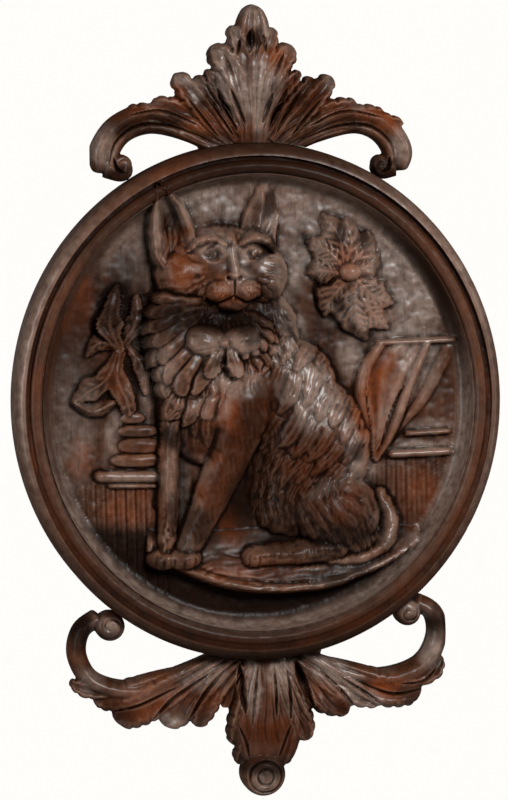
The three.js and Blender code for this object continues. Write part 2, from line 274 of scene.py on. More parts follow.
# %% Carving tools: domes, limbs and leaves
LINE_POINTS = 14  # points that a bent line is worked out at
LEAF_LOBES = 0.16  # how far the lobes swing in and out, as a share of a leaf's width
LEAF_RIB = (1.3, 0.9)  # height and half width of a leaf's middle rib
LEAF_DROP = 3.2  # how much lower the edge of a flat leaf lies than its middle
LEAF_RISE = 3.0  # how much higher the edge of a fully cupped leaf lies


def smooth_curve(values, place):
    """Reads a row of values or of points smoothly, at places counted from 0."""
    values = np.asarray(values, float)
    padded = np.concatenate([[2 * values[0] - values[1]], values, [2 * values[-1] - values[-2]]])
    i = np.minimum(place.astype(int), len(values) - 2)
    t = (place - i).reshape(-1, *[1] * (values.ndim - 1))
    p0, p1, p2, p3 = padded[i], padded[i + 1], padded[i + 2], padded[i + 3]
    slope = 2 * p1 + (p2 - p0) * t
    return 0.5 * (slope + (2 * p0 - 5 * p1 + 4 * p2 - p3) * t**2 + (3 * p1 - p0 - 3 * p2 + p3) * t**3)


def bent_line(points, count=LINE_POINTS):
    """A smooth line through a few points, as `count` points along it."""
    points = np.array(points, float)
    if len(points) == 2:
        return points[0] + (points[1] - points[0]) * np.linspace(0, 1, count)[:, None]
    return smooth_curve(points, np.linspace(0, len(points) - 1, count))


def along(values, t):
    return np.interp(t, np.linspace(0, 1, len(values)), values)


def near_line(x, z, spine):
    """For each point: how far along the line it is (0 to 1), and how far to the left of it."""
    line = bent_line(spine, 2 if len(spine) == 2 else LINE_POINTS)
    pieces = len(line) - 1
    best = np.full(x.shape, 1e9)
    share, side = np.zeros(x.shape), np.zeros(x.shape)
    for k in range(pieces):
        a, way = line[k], line[k + 1] - line[k]
        length = np.hypot(*way)
        way = way / length
        run = (x - a[0]) * way[0] + (z - a[1]) * way[1]
        off = (z - a[1]) * way[0] - (x - a[0]) * way[1]
        over = np.clip(run, 0, length)
        gap = np.hypot(run - over, off)
        closer = gap < best
        best = np.where(closer, gap, best)
        share = np.where(closer, (k + over / length) / pieces, share)
        side = np.where(closer, np.where(off < 0, -gap, gap), side)
    return share, side


def rounded(away, low, high, reach):
    """A round section: high in its middle, low at its edge, and a steep side beyond that."""
    top = low + (high - low) * np.sqrt(np.clip(1 - away * away, 0, 1))
    return np.where(away < 1, top, low - (away - 1) * reach * WALL_SLOPE)


def dome(x, z, at, size, turn, low, high, power=2.0):
    u, v = turned(x, z, at, turn)
    away = (np.abs(u / size[0]) ** power + np.abs(v / size[1]) ** power) ** (1 / power)
    return rounded(away, low, high, min(size))


def limb(x, z, spine, half, low, high):
    share, side = near_line(x, z, spine)
    width = along(half, share)
    return rounded(np.abs(side) / width, low, along(high, share), width)


def add_domes(depth, x, z, rows, valley=VALLEY, power=2.0):
    for row in rows:
        depth = higher(depth, dome(x, z, *row, power), valley)
    return depth


def add_limbs(depth, x, z, rows, valley=VALLEY):
    for row in rows:
        depth = higher(depth, limb(x, z, *row), valley)
    return depth


def ridge(x, z, spine, half, height):
    """A soft raised line, to be added to what it lies on."""
    share, side = near_line(x, z, spine)
    return height * np.sin(np.pi * np.clip(share, 0.08, 0.92)) * line_at(side, 0, half)


def slot(x, z, spine, half, deep):
    """A V-shaped cut along a line."""
    return deep * np.clip(1 - np.abs(near_line(x, z, spine)[1]) / half, 0, 1)


def pit(x, z, at, radius, flat, deep):
    """A small drilled hollow: its floor is flat where flat - 1 radii or less from the middle."""
    return deep * np.clip(flat - np.hypot(x - at[0], z - at[1]) / radius, 0, 1)


def leaf(x, z, spine, half, thick, lobes, vein, cup):
    """A lobed leaf: a raised middle rib, side veins, and edges that lie lower, or higher if it is cupped."""
    share, side = near_line(x, z, spine)
    length = np.hypot(*np.diff(bent_line(spine), axis=0).T).sum()
    width = along(half, share) * (1 + LEAF_LOBES * np.cos(2 * np.pi * (lobes * share + 0.1)))
    away = np.clip(np.abs(side) / width, 0, 1)
    slant = (share * length - 0.9 * np.abs(side)) / (length / (lobes * 2))
    veins = vein * np.cos(2 * np.pi * slant) * away * (1 - away) * 3
    rib = LEAF_RIB[0] * line_at(side, 0, LEAF_RIB[1]) * (1 - 0.6 * share)
    middle = along(thick, share)
    top = middle - (1 - cup) * LEAF_DROP * away**2 + cup * LEAF_RISE * away**2 + rib + veins
    return np.where(np.abs(side) < width, top, middle - LEAF_DROP - (np.abs(side) - width) * WALL_SLOPE)


print("domes, limbs and leaves are ready")

# %% [markdown]
# ## The roundel's moulding
# The rim is a turned or scratched moulding: a rounded outer band, a deep groove, a bead, a thin bright
# arris and a cove that runs down to the flat ground. It is one formula of the oval radius, so every ring of
# the mesh follows it exactly. The groove is filled with old wax in the lower half, where it hardly shows.

# %% The rim's profile
RIM_HALF_WIDTH = 150.0
RIM_HALF_HEIGHT = 158.5
OVAL = RIM_HALF_HEIGHT / RIM_HALF_WIDTH
WALL = 12.0  # depth of the ground behind the cat
BAND = (143.5, 6.5, 21.0, 32.6)  # inner radius, width, depth at the side and at the top
GROOVE = (140.9, 28.4)  # inner radius, depth
BEAD = (137.2, 3.6, 28.8, 32.8)  # middle radius, half width, depth at its sides and at its top
ARRIS = (132.6, 29.2)  # radius, depth
COVE = (124.0, 132.5, 28.2)  # inner and outer radius, depth at the top
FILLED_GROOVE = 30.6  # its depth in the lower half
RIM_RINGS = [
    125.6, 127.2, 128.8, 130.2, 131.3, 132.1, 132.6, 133.0, 133.4, 133.8, 134.5, 135.7, 137.2, 138.7,
    139.9, 140.6, 141.0, 141.9, 142.8, 143.2, 143.6, 144.9, 146.4, 147.9, 149.0, 149.7, 150.0,
]


def rim_profile(radius, lower):
    band_share = np.clip((radius - BAND[0]) / BAND[1], 0, 1)
    band = BAND[2] + (BAND[3] - BAND[2]) * np.sqrt(1 - band_share**2)
    bead_share = np.clip(np.abs(radius - BEAD[0]) / BEAD[1], 0, 1)
    bead = BEAD[2] + (BEAD[3] - BEAD[2]) * np.sqrt(1 - bead_share**2)
    bead = np.where(radius > BEAD[0], np.maximum(bead, FILLED_GROOVE * lower), bead)
    cove_share = np.clip((radius - COVE[0]) / (COVE[1] - COVE[0]), 0, 1)
    cove = WALL + (COVE[2] - WALL) * (1 - np.sqrt(1 - cove_share**2))
    depth = np.where(radius > BAND[0], band, GROOVE[1] + (FILLED_GROOVE - GROOVE[1]) * lower)
    depth = np.where(radius < GROOVE[0], bead, depth)
    depth = np.where(radius < BEAD[0] - BEAD[1] * 0.98, ARRIS[1] - 1.2, depth)
    depth = np.where(radius < ARRIS[0] + 0.25, ARRIS[1], depth)
    return np.where(radius < ARRIS[0] - 0.25, cove, depth)


print("rim rings:", len(RIM_RINGS))

# %% [markdown]
# ## The room behind the cat
# The ground shows boards, wall rails, a plant beside a turned stand, a leafy spray and a curtain. They are
# low relief, a few millimetres high, with their veins and folds cut in. The boards are gouged in parallel
# lines below the rails.

# %% The room: boards, rails and stand
BOARD_PITCH = 6.2
BOARD_GROOVE = 1.1  # depth of the groove between boards, and half its width
BOARDS_TOP = (-37, -50)  # height at which the boards start, right and left
STAND = [  # at, half size, turn, depth at its edge and top
    ((-76, -9), (7, 3.4), 0, 13, 15.2),
    ((-73, -17), (12, 3.8), 0, 13, 16.2),
    ((-72, -26), (13, 4.8), 0, 13, 16.4),
    ((-74, -35), (16, 4.2), 0, 13, 16.6),
]
STAND_SQUARENESS = 2.4  # 2 is a round disc seen from its side, more is squarer
BARS = [  # line, half widths, depth at its edge, depths along it
    (((-97, -44.5), (-58, -45.5)), (3.4, 3.6), 13, (17, 17)),
    (((-90, -50.5), (-58, -51)), (1.6, 1.6), 12, (15, 15)),
    (((84, -34.5), (119, -33.5)), (2.6, 2.6), 12, (16.5, 16.5)),
    (((94, -22), (119, -21)), (1.8, 1.8), 12, (15.5, 15.5)),
    (((76, 34.5), (122, 35.5)), (2.0, 2.0), 12, (17.5, 17.5)),
]


def boards(x, z):
    lane = x / BOARD_PITCH + 0.1 * noise(x, z, 30, 3)
    cut = np.clip(1 - np.abs(lane - np.round(lane)) * BOARD_PITCH / BOARD_GROOVE, 0, 1)
    right = smooth_step(66, 72, x) * smooth_step(BOARDS_TOP[0] + 2, BOARDS_TOP[0] - 1, z)
    left = smooth_step(-50, -56, x) * smooth_step(BOARDS_TOP[1] + 2, BOARDS_TOP[1] - 1, z)
    worn = 0.6 + 0.4 * noise(x, z * 0.4, 18, 4)
    return -BOARD_GROOVE * cut * np.clip(right + left, 0, 1) * worn


def wall_fittings(x, z):
    depth = np.full(x.shape, BURIED)
    depth = add_domes(depth, x, z, STAND, 1.5, STAND_SQUARENESS)
    return add_limbs(depth, x, z, BARS)


print("stand and bars:", len(STAND) + len(BARS))

# %% The room: plant, spray and curtain
PLANT = [  # spine, half widths, depths, lobes, how deep its veins are, how cupped
    (((-84, 34), (-90, 50), (-85, 72)), (2.5, 6, 8, 6, 1.5), (15, 17, 18, 18, 16), 2, 0.5, 0.9),
    (((-82, 36), (-74, 50), (-73, 66)), (2.5, 5, 6, 4.5, 1.5), (15, 16.5, 17, 17, 15), 2, 0.5, 0.4),
    (((-84, 34), (-96, 38), (-104, 30)), (2, 5, 5, 1.2), (14.5, 16, 16, 14.5), 2, 0.5, 0.2),
    (((-84, 34), (-92, 16), (-104, 8), (-112, 2)), (2.5, 5, 7, 6, 2), (15, 17, 18, 18, 16), 3, 0.5, 0.2),
    (((-112, 1), (-101, -4), (-88, 1)), (2, 3.6, 4.2, 2.2), (16, 18.5, 18.5, 16), 1, 0.5, -0.2),
    (((-82, 36), (-86, 18), (-80, 2), (-78, -6)), (2.5, 5.5, 6.5, 3), (15, 17.5, 18, 15), 2, 0.5, 0.3),
    (((-78, 34), (-70, 22), (-68, 6)), (2, 4.5, 5, 1.5), (14.5, 16.5, 17, 15), 2, 0.5, 0.3),
]
SPRAY_HEART = [((57, 78), (17, 24), 30, 13, 20)]  # at, half size, turn, depth at its edge and top
SPRAY_BUD = [((58, 79), (6.5, 5.5), 0, 22, 27.5)]
SPRAY = [  # from, to, widest half width, depth at the heart and at the tip, lobes
    ((54, 84), (43, 113), 8.0, 23, 21, 3),
    ((56, 86), (57, 110), 6.5, 24, 19, 2),
    ((58, 84), (70, 102), 8.0, 24, 20, 2),
    ((60, 80), (76, 88), 6.5, 25, 21, 2),
    ((62, 74), (84, 59), 8.0, 24, 22, 3),
    ((64, 66), (81, 44), 7.0, 23, 20, 3),
    ((60, 68), (68, 38), 7.5, 25, 23, 3),
    ((56, 66), (57, 46), 6.5, 24, 20, 2),
    ((52, 70), (43, 53), 7.0, 24, 20, 2),
    ((50, 78), (33, 78), 7.5, 23, 19, 3),
    ((52, 84), (33, 97), 7.5, 23, 19, 3),
]
SPRAY_BEND = 0.1  # how far a spray leaf bends sideways, as a share of its length
SPRAY_VEIN = 0.9
SPRAY_CUPS = (-0.2, 0.25, 0.25)  # every third leaf droops
CURTAIN_SPINE = ((90, 33), (78, 6), (73.5, -36))
CURTAIN_HALF = (14.5, 14, 12.5, 8.5, 4, 1.8)
CURTAIN_CLOTH = (15.5, 16.5, 17, 17, 15.5)  # depths down its spine
CURTAIN_FOLDS = (0.55, 1.2)  # their height, and how many fit in the curtain's half width
CURTAIN_STEP = 1.5  # how far the cloth's edge stands up before it falls to the ground
CURTAIN_HEM = [  # line, half widths, depth at its edge, depths along it
    (((106, 33), (94, 6), (84, -20), (74, -38)), (2.6, 3.2, 3.4, 2.6, 1.4), 13, (18.5, 20, 20.5, 19.5, 16)),
]
CURTAIN_EDGE = ((77, 33), (68.5, 20), (65, 4), (67.5, -14), (73, -36))
CURTAIN_SIDES = [
    (CURTAIN_EDGE, (2.8, 3.6, 4.4, 3.8, 2.0), 13, (17.4, 18.4, 18.4, 17.4, 15)),
    (((120, 30), (104, 0), (90, -16), (80, -30)), (5, 4, 3, 2), 10.5, (13.6, 13.9, 13.9, 13)),
]
CURTAIN_TOP = 34.0


def plant_and_spray(x, z):
    depth = np.full(x.shape, BURIED)
    for petal in PLANT:
        depth = higher(depth, leaf(x, z, *petal))
    depth = add_domes(depth, x, z, SPRAY_HEART)
    for k, (start, end, half, root, tip, lobes) in enumerate(SPRAY):
        across, up = end[0] - start[0], end[1] - start[1]
        middle = ((start[0] + end[0]) / 2 + up * SPRAY_BEND, (start[1] + end[1]) / 2 - across * SPRAY_BEND)
        widths = (half * 0.5, half * 0.95, half * 1.15, half * 0.95, 1.4)
        thick = (root - 1.5, root, (root + tip) / 2 + 0.6, tip, tip - 3)
        spine = (start, middle, end)
        depth = higher(depth, leaf(x, z, spine, widths, thick, lobes, SPRAY_VEIN, SPRAY_CUPS[k % 3]))
    return add_domes(depth, x, z, SPRAY_BUD, 1.5)


def curtain(x, z):
    share, side = near_line(x, z, CURTAIN_SPINE)
    width = along(CURTAIN_HALF, share)
    away = np.abs(side) / width
    phase = side / width * CURTAIN_FOLDS[1] + 0.2 * np.sin(5 * share)
    folds = CURTAIN_FOLDS[0] * np.cos(2 * np.pi * phase) * (1 - 0.5 * share)
    cloth = along(CURTAIN_CLOTH, share) + folds
    cloth = np.where(away < 1, cloth, cloth - CURTAIN_STEP - (away - 1) * width * WALL_SLOPE)
    depth = add_limbs(cloth, x, z, CURTAIN_HEM)
    depth = add_limbs(depth, x, z, CURTAIN_SIDES, 2.5)
    return np.where(z < CURTAIN_TOP, depth, depth - (z - CURTAIN_TOP) * WALL_SLOPE)


print("leaves:", len(PLANT) + len(SPRAY))

# %% The room: floor
FLOOR_BACK = -78
FLOOR_DEPTHS = (WALL - 1, 29)
FLOOR_CENTRE = (14, 30)
FLOOR_RADIUS = 146
FLOOR_ENDS = (-68, 100)
FLOOR_STROKES = (6, 3.4, 26, 7)  # lie, pitch, length and seed of its gouge strokes
FLOOR_STROKE_DEPTH = 0.7
FLOOR_STROKE_AREA = ((5, -104), (78, 14))  # middle and half size of the patch that they cover
FLOOR_LIP = (0.9, 1.8, 1.6)  # height of the raised front edge, how far in its middle is, half width
GROUND_WAVES = [(0.5, 24, 1), (0.25, 8, 2), (0.12, 3, 8)]  # height, length and seed of the ground's waviness
FLOOR_CUTS = [  # line, half width, depth
    (((-60, -90), (-30, -104), (0, -110), (34, -111)), 1.3, 0.9),
    (((-20, -94), (10, -99), (44, -100), (76, -94)), 1.2, 0.8),
]


def floor_of_room(x, z):
    reach = FLOOR_RADIUS - np.hypot(x - FLOOR_CENTRE[0], z - FLOOR_CENTRE[1]) + 0.5 * noise(x, z, 12, 6)
    reach = np.minimum(reach, np.minimum(x - FLOOR_ENDS[0], FLOOR_ENDS[1] - x))
    drop = FLOOR_RADIUS - (FLOOR_CENTRE[1] - FLOOR_BACK)
    share = np.clip((FLOOR_BACK - z) / drop, 0, 1)
    top = FLOOR_DEPTHS[0] + (FLOOR_DEPTHS[1] - FLOOR_DEPTHS[0]) * share**0.8
    top = top + FLOOR_LIP[0] * line_at(reach, *FLOOR_LIP[1:]) + 0.5 * noise(x, z * 2.2, 15, 5)
    top = top - FLOOR_STROKE_DEPTH * strokes(x, z, *FLOOR_STROKES) * patch(x, z, *FLOOR_STROKE_AREA)
    for cut in FLOOR_CUTS:
        top = top - slot(x, z, *cut)
    return np.where(reach > 0, top, top + reach * 4.0)


def carve_room(x, z, radius):
    inside = radius < COVE[0]
    ground = WALL + waves(x, z, GROUND_WAVES) + boards(x, z)
    lower = smooth_step(0.25, -0.25, z / RIM_HALF_HEIGHT)
    depth = np.where(inside, ground, rim_profile(radius, lower))
    depth = higher(depth, wall_fittings(x, z))
    depth = higher(depth, plant_and_spray(x, z))
    depth = higher(depth, curtain(x, z))
    return higher(depth, floor_of_room(x, z), 0.5)


print("floor cuts:", len(FLOOR_CUTS))

# %% [markdown]
# ## The cat
# The cat stands highest of all. Its back, chest, shoulder and haunch are broad masses that run into each
# other, its legs are tapering limbs, and the ribbon bow and the pleated ruff lie on its chest. The head is a
# round mass with brows, muzzle and cheeks added and the eye sockets scooped out. The photo looks a little
# from the left and from above, so each layer's plan is drawn as the photo shows it and then moved back to
# where it really stands, by an amount that grows with its depth.

# %% The cat's body
BODY_PLACE = (-1.9, 1.4)  # how far the layer is moved from where the photo shows it
BODY = [  # at, half size, turn, depth at its edge and top
    ((0, 42), (20, 27), 0, 14, 29),
    ((15, 44), (26, 13), -73, 14, 28),
    ((20, 8), (33, 30), -50, 14, 32),
    ((36, -24), (43, 34), -62, 14, 33),
    ((-30, 2), (28, 42), 4, 14, 29),
    ((26, -52), (34, 34), 0, 14, 27),
    ((60, -88), (17, 12), 0, 15, 29),
]
SHOULDER = [((-7, -3), (19, 30), -20, 18, 37)]
HAUNCH = [((50, -70), (28, 25), -20, 16, 36.5)]
THIGH_ARC = ((32, -64), (38, -55), (50, -47.5), (62, -54), (68, -62))
THIGH_RIDGE = (3.0, 1.8)  # half width and height of the ridge along that arc
BELLY_HOLLOW = ((-2, -60), (12, 24), -12, 0.5)  # at, half size, turn, softness of its edge
BELLY_DEEP = 7.0
LIMBS = [  # line, half widths, depth at its edge, depths along it
    (((-46, 6), (-52, -30), (-53, -66), (-55, -92)), (9, 6.5, 6, 5.5), 14, (27, 26.5, 26, 26)),
    (((-6, -10), (-19, -42), (-33, -72), (-42, -90)), (16, 12.5, 9.5, 8.2), 15, (36, 34.5, 32, 30)),
    (((50, -92), (24, -95), (2, -96)), (9, 8, 6.5), 16, (31, 31.5, 30)),
    (((78, -60), (84, -76), (80, -90), (64, -98), (46, -100)), (4, 5.5, 6, 5.5, 3), 13, (20, 24, 27, 29, 27)),
]
PAWS = [
    ((-57, -97), (10, 6.5), 0, 16, 29),
    ((-45, -96.5), (12, 7.5), 0, 17, 33),
    ((-1, -97), (8.5, 6.5), 0, 17, 31),
]
TOES = [(-62, -98.5), (-57, -100), (-51, -99.5), (-45, -101), (-38.5, -99.5), (-4.5, -98.5), (1, -99.5)]
TOE_CUT = (1.3, 1.7)  # half width and depth of the cut between two toes


def cat_body(x, z):
    depth = add_domes(np.full(x.shape, BURIED), x, z, BODY, 6)
    depth = depth - BELLY_DEEP * patch(x, z, *BELLY_HOLLOW)
    depth = add_domes(depth, x, z, HAUNCH, 2.5)
    depth = depth + ridge(x, z, THIGH_ARC, *THIGH_RIDGE)
    depth = add_limbs(depth, x, z, LIMBS, 1.2)
    depth = add_domes(depth, x, z, PAWS, 2)
    depth = add_domes(depth, x, z, SHOULDER, 3.5)
    for at in TOES:
        cut = TOE_CUT[1] * np.clip(1 - np.abs(x - at[0]) / TOE_CUT[0], 0, 1)
        depth = depth - cut * smooth_step(5.5, 2, np.abs(z - at[1]))
    return depth


print("body forms:", len(BODY) + len(LIMBS) + len(PAWS) + 2)

# %% The cat's coat
SMOOTH = [((-7, -4), (19, 24), -20), ((-26, -58), (12, 36), 25)]  # shoulder and foreleg, left nearly smooth
COAT = [  # middle and half size of the patch, turn; lie of the locks, pitch, length, height
    ((36, -8), (34, 48), 28, -122, 10.0, 27, 3.4),
    ((50, -72), (27, 22), -20, -55, 7.0, 20, 1.9),
    ((30, -46), (22, 18), 0, -105, 8.4, 22, 2.2),
    ((-32, -4), (22, 26), 0, -96, 7.4, 20, 2.6),
    ((18, 44), (14, 24), 0, -72, 5.4, 18, 1.8),
    ((-52, -50), (9, 44), 0, -90, 4.0, 22, 0.8),
    ((26, -95), (34, 8), 0, 178, 4.0, 14, 0.7),
    ((78, -82), (14, 22), 0, -70, 4.0, 13, 1.0),
    ((4, -52), (16, 30), 0, -98, 5.6, 18, 1.5),
]
COAT_STROKES = (-78, 3.6, 16, 29)  # lie, pitch, length and seed of the fine strokes all over it
STROKE_DEPTH = 0.45
WORN_SMOOTH = 0.88  # how much of its locks a smooth place has lost


def cat_coat(x, z):
    """How high the locks of the coat stand on the body."""
    rise = np.zeros(x.shape)
    for index, (at, size, turn, lie, pitch, length, height) in enumerate(COAT):
        here = patch(x, z, at, size, turn, 0.25)
        rise = rise + height * here * (straight_locks(x, z, lie, pitch, length, index + 10) - 0.35)
    for area in SMOOTH:
        rise = rise * (1 - WORN_SMOOTH * patch(x, z, *area, 0.2))
    return rise - STROKE_DEPTH * strokes(x, z, *COAT_STROKES)


print("coat patches:", len(COAT))

# %% The ruff and the bow
RUFF_ROOT = (-18, 60)
RUFF_TURNS = (170, 186, 203, 221, 233, 241, 250, 257, 263, 276, 292, 306, 322, 338)  # degrees
BIB = dict(  # the lower layer: reach at those turns, depths outwards, degrees to a pleat, height, seed
    reaches=(30, 40, 50, 58, 66, 76, 78, 71, 70, 61, 50, 44, 40, 30),
    depths=(24, 24, 25, 26, 28, 30, 31, 29.5),
    fold=9.0,
    height=2.2,
    seed=44,
)
RUFF = dict(
    reaches=(38, 46, 50, 54, 62, 61, 58, 51, 40, 33, 35, 37, 36, 30),
    depths=(22, 22, 23, 29, 33, 34, 34, 33),
    fold=11.5,
    height=3.6,
    seed=41,
)
BIB_LOCKS = (60, 14, 46)  # locks all round, length, seed
BIB_LOCK_HEIGHT = 1.5
BOW = [  # at, half size, turn, depth at its edge and top
    ((-31.5, 37.5), (12.5, 9), -10, 30, 40.5),
    ((-8.5, 37), (12, 8.6), 10, 30, 40.5),
    ((-20, 36.5), (4, 5.6), 0, 24, 41.5),
]
BOW_SQUARENESS = 2.8
BOW_KNOT = (-20, 36.5)
BOW_CREASES = 5.5  # creases that spread from the knot on each side
BOW_LOOPS = [((-32, 37.5), (11, 7)), ((-8.5, 37), (10.5, 7))]  # where the creases show
BOW_ENDS = [((-23, 32), (-29, 18)), ((-17, 32), (-12, 19))]
BOW_END_LEAF = ((2, 4.5, 4.8, 3.6), (37, 39, 39, 38), 1, 0.2, 0.5)  # half widths, depths, lobes, vein, cup


def collar(x, z, reaches, depths, fold, height, seed):
    """A layer of pleats round the neck, with a scalloped edge. Its upper left part is worn low."""
    dx, dz = x - RUFF_ROOT[0], z - RUFF_ROOT[1]
    angle = np.degrees(np.arctan2(dz, dx)) % 360
    phase = angle / fold + 0.22 * noise(x, z, 14, seed)
    pleat = np.sqrt(np.abs(np.cos(np.pi * phase)))
    size = 0.75 + 0.5 * chance(np.floor(phase + 0.5), 2, seed)
    edge = np.interp(angle, RUFF_TURNS, reaches) * (0.93 + 0.09 * pleat * size)
    share = np.hypot(dx, dz) / edge
    height = height * (0.3 + 0.7 * smooth_step(195, 235, angle))
    top = along(depths, np.clip(share, 0, 1)) + height * size * (pleat - 0.6) * smooth_step(0.45, 0.8, share)
    top = np.where(share < 1, top, top - (share - 1) * edge * WALL_SLOPE)
    sides = np.maximum(RUFF_TURNS[0] - angle, angle - RUFF_TURNS[-1])
    return np.where(sides > 0, top - sides * 2.0, top)


def cat_ruff(x, z):
    depth = collar(x, z, **BIB)
    depth = depth + BIB_LOCK_HEIGHT * fan_locks(x, z, RUFF_ROOT, *BIB_LOCKS) - 0.7
    depth = higher(depth, collar(x, z, **RUFF), 0.6)
    for line in BOW_ENDS:
        depth = higher(depth, leaf(x, z, line, *BOW_END_LEAF), 0.5)
    depth = add_domes(depth, x, z, BOW, 0.6, BOW_SQUARENESS)
    creases = np.abs(np.sin(np.arctan2(z - BOW_KNOT[1], x - BOW_KNOT[0]) * BOW_CREASES))
    loops = sum(patch(x, z, *area) for area in BOW_LOOPS)
    return depth - 0.9 * loops * np.clip(1 - creases * 2.5, 0, 1)


print("pleats:", round((RUFF_TURNS[-1] - RUFF_TURNS[0]) / RUFF["fold"]))

# %% The head and ears
HEAD_PLACE = (-2.7, 2.0)
HEAD = [  # at, half size, turn, depth at its edge and top
    ((-19, 82), (37, 24), 0, 18, 36),
    ((-18, 93), (26, 12.5), 0, 18, 37),
    ((-44, 76), (14.5, 17), 14, 18, 35),
    ((9, 74), (13, 17), -14, 18, 34),
    ((-13, 72), (20, 15), 0, 20, 38.5),
]
PADS = [
    ((-21, 68.5), (10, 8.6), 12, 22, 42),
    ((-4, 68.5), (10, 8.6), -12, 22, 42),
    ((-12.5, 59), (9, 5), 0, 22, 37),
]
NOSE = [((-12.5, 77.5), (6, 4.2), 0, 26, 43)]
NOSE_BRIDGE = [(((-14.5, 99), (-13.5, 88), (-12.5, 79)), (5.5, 5, 5), 22, (38, 40.5, 42))]
BROWS = [  # line, half widths, depth at its edge, depths along it
    (((-40, 92), (-34, 97.5), (-26, 99.5), (-18, 96)), (2.0, 3.4, 3.8, 2.6), 22, (35, 37.5, 39.5, 39.5)),
    (((13, 92), (8, 97.5), (0, 99.5), (-8, 96)), (2.0, 3.4, 3.8, 2.6), 22, (34.5, 37, 39.5, 39.5)),
]
FROWNS = [((-26, 102), (-18, 90)), ((-15, 102), (-8, 91)), ((-12, 84), (-5, 76)), ((-40, 101), (-31, 98))]
FROWN_SIZE = (1.9, 1.7)  # half width and height
HOLLOW_EAR = (1.0, 1.0, 0.72, 0.60, 0.58, 0.62, 0.80, 0.93, 0.9)  # depths from its right edge to its left
FOLDED_EAR = (0.80, 0.84, 0.86, 0.90, 1.0, 1.0, 0.95, 0.90, 0.85)
LEFT_EAR = ((-47, 92), (-49.5, 106), (-52.5, 118), (-57.5, 133))  # from root to tip
RIGHT_EAR = ((3, 90), (5, 104), (7, 114), (8.5, 125.5))
EARS = [  # line, half widths, depths, how far it fills up towards the tip, depths across
    (LEFT_EAR, (13, 12, 9.2, 1.5), (30, 33, 35, 35), 0.5, HOLLOW_EAR),
    (RIGHT_EAR, (11, 10.5, 10, 5.0), (26, 25, 23, 19), 0.0, FOLDED_EAR),
]
EAR_TUFTS = (78, 3.4, 15, 51)  # lie, pitch, length and seed of the fur at an ear's root
EAR_TUFT_HEIGHT = 1.4
EYES = [((-26.5, 90), -12, 0.6), ((1.5, 90), 12, -1.3)]  # at, turn, how far it stands out
EYE_SOCKET = (7.6, 4.8, 38.5, 6.0)  # half width, half height, depth of its middle, radius in depth
EYE_BALL = (5.4, 3.5, 28, 35.2)  # half width, half height, depth at its edge and top
PUPIL = (1.9, 1.4, 1.8)  # radius, flat part and depth of the drilled hollow


def cat_ear(x, z, line, half, thick, level, section):
    share, side = near_line(x, z, line)
    width = along(half, share)
    away = side / width
    cup = along(section, np.clip((away + 1) / 2, 0, 1))
    cup = cup + (1 - cup) * (level * share**3 + 0.6 * smooth_step(0.35, 0.0, share))
    tufts = EAR_TUFT_HEIGHT * straight_locks(x, z, *EAR_TUFTS) * smooth_step(0.75, 0.3, share)
    rim = along(thick, share)
    top = rim * cup + tufts * (1 - np.clip(np.abs(away), 0, 1))
    return np.where(np.abs(away) < 1, top, rim - 3 - (np.abs(away) - 1) * width * WALL_SLOPE)


def from_eye(x, z, at, turn):
    """How far each point is from an eye's middle, where 1 is the edge of its socket."""
    u, v = turned(x, z, at, turn)
    return np.hypot(u / EYE_SOCKET[0], v / EYE_SOCKET[1])


def cat_eyes(x, z, depth):
    for at, turn, level in EYES:
        away = from_eye(x, z, at, turn)
        bowl = level + EYE_SOCKET[2] - EYE_SOCKET[3] * np.sqrt(np.clip(1 - away * away, 0, 1))
        depth = np.where(away < 1, -higher(-depth, -bowl, 1.5), depth)
        ball = level + dome(x, z, at, EYE_BALL[:2], turn, *EYE_BALL[2:])
        depth = higher(depth, ball - pit(x, z, at, *PUPIL), 0.3)
    return depth


def cat_head(x, z):
    depth = add_domes(np.full(x.shape, BURIED), x, z, HEAD, 4)
    depth = add_domes(depth, x, z, PADS, 1.2)
    depth = add_limbs(depth, x, z, NOSE_BRIDGE, 3)
    depth = add_limbs(depth, x, z, BROWS, 1.5)
    for line in FROWNS:
        depth = depth + ridge(x, z, line, *FROWN_SIZE)
    return add_domes(cat_eyes(x, z, depth), x, z, NOSE)


print("head forms:", len(HEAD) + len(PADS) + len(BROWS) + len(FROWNS) + 4)

# %% [markdown]
# ## The face
# Nostrils, the split lip and whisker dots are small cuts, and short locks spread from the nose over the
# cheeks and brow. The muzzle is left smooth, polished by hands.

# %% The face
NOSTRILS = [(-15.7, 75.6), (-9.3, 75.6)]
NOSTRIL = (1.6, 1.3, 2.4)  # radius, flat part and depth
MOUTH = [  # line, half width, depth of the cut
    (((-12.5, 73.5), (-12.5, 64)), 1.0, 2.4),
    (((-12.5, 64.5), (-19.5, 60.5), (-28.5, 62.5)), 1.2, 2.6),
    (((-12.5, 64.5), (-5.5, 60.5), (3.5, 62.5)), 1.2, 2.6),
]
WHISKER_ROWS = [(-22.5, 69.5, 1), (-2.5, 69.5, -1)]  # where the dots start, and which way they run
WHISKER_DOT = (0.9, 1.2, 0.9)
WHISKER_STEPS = (3.0, 2.8)  # from dot to dot, and from row to row
FACE_FUR = ((-12.5, 82), 34, 11, 31)  # centre, locks round it, length, seed
FACE_FUR_HEIGHT = 1.9
BARE_CHEEK = ((-45, 80), (10, 11))  # middle and half size of the cheek that is worn nearly smooth


def face_cuts(x, z):
    cuts = [pit(x, z, at, *NOSTRIL) for at in NOSTRILS]
    cuts += [slot(x, z, *line) for line in MOUTH]
    for at_x, at_z, way in WHISKER_ROWS:
        for row in range(3):
            for k in range(3):
                dot = (at_x - way * (k * WHISKER_STEPS[0] - 2), at_z + 2.6 - row * WHISKER_STEPS[1])
                cuts.append(pit(x, z, dot, *WHISKER_DOT))
    return -np.max(cuts, axis=0)


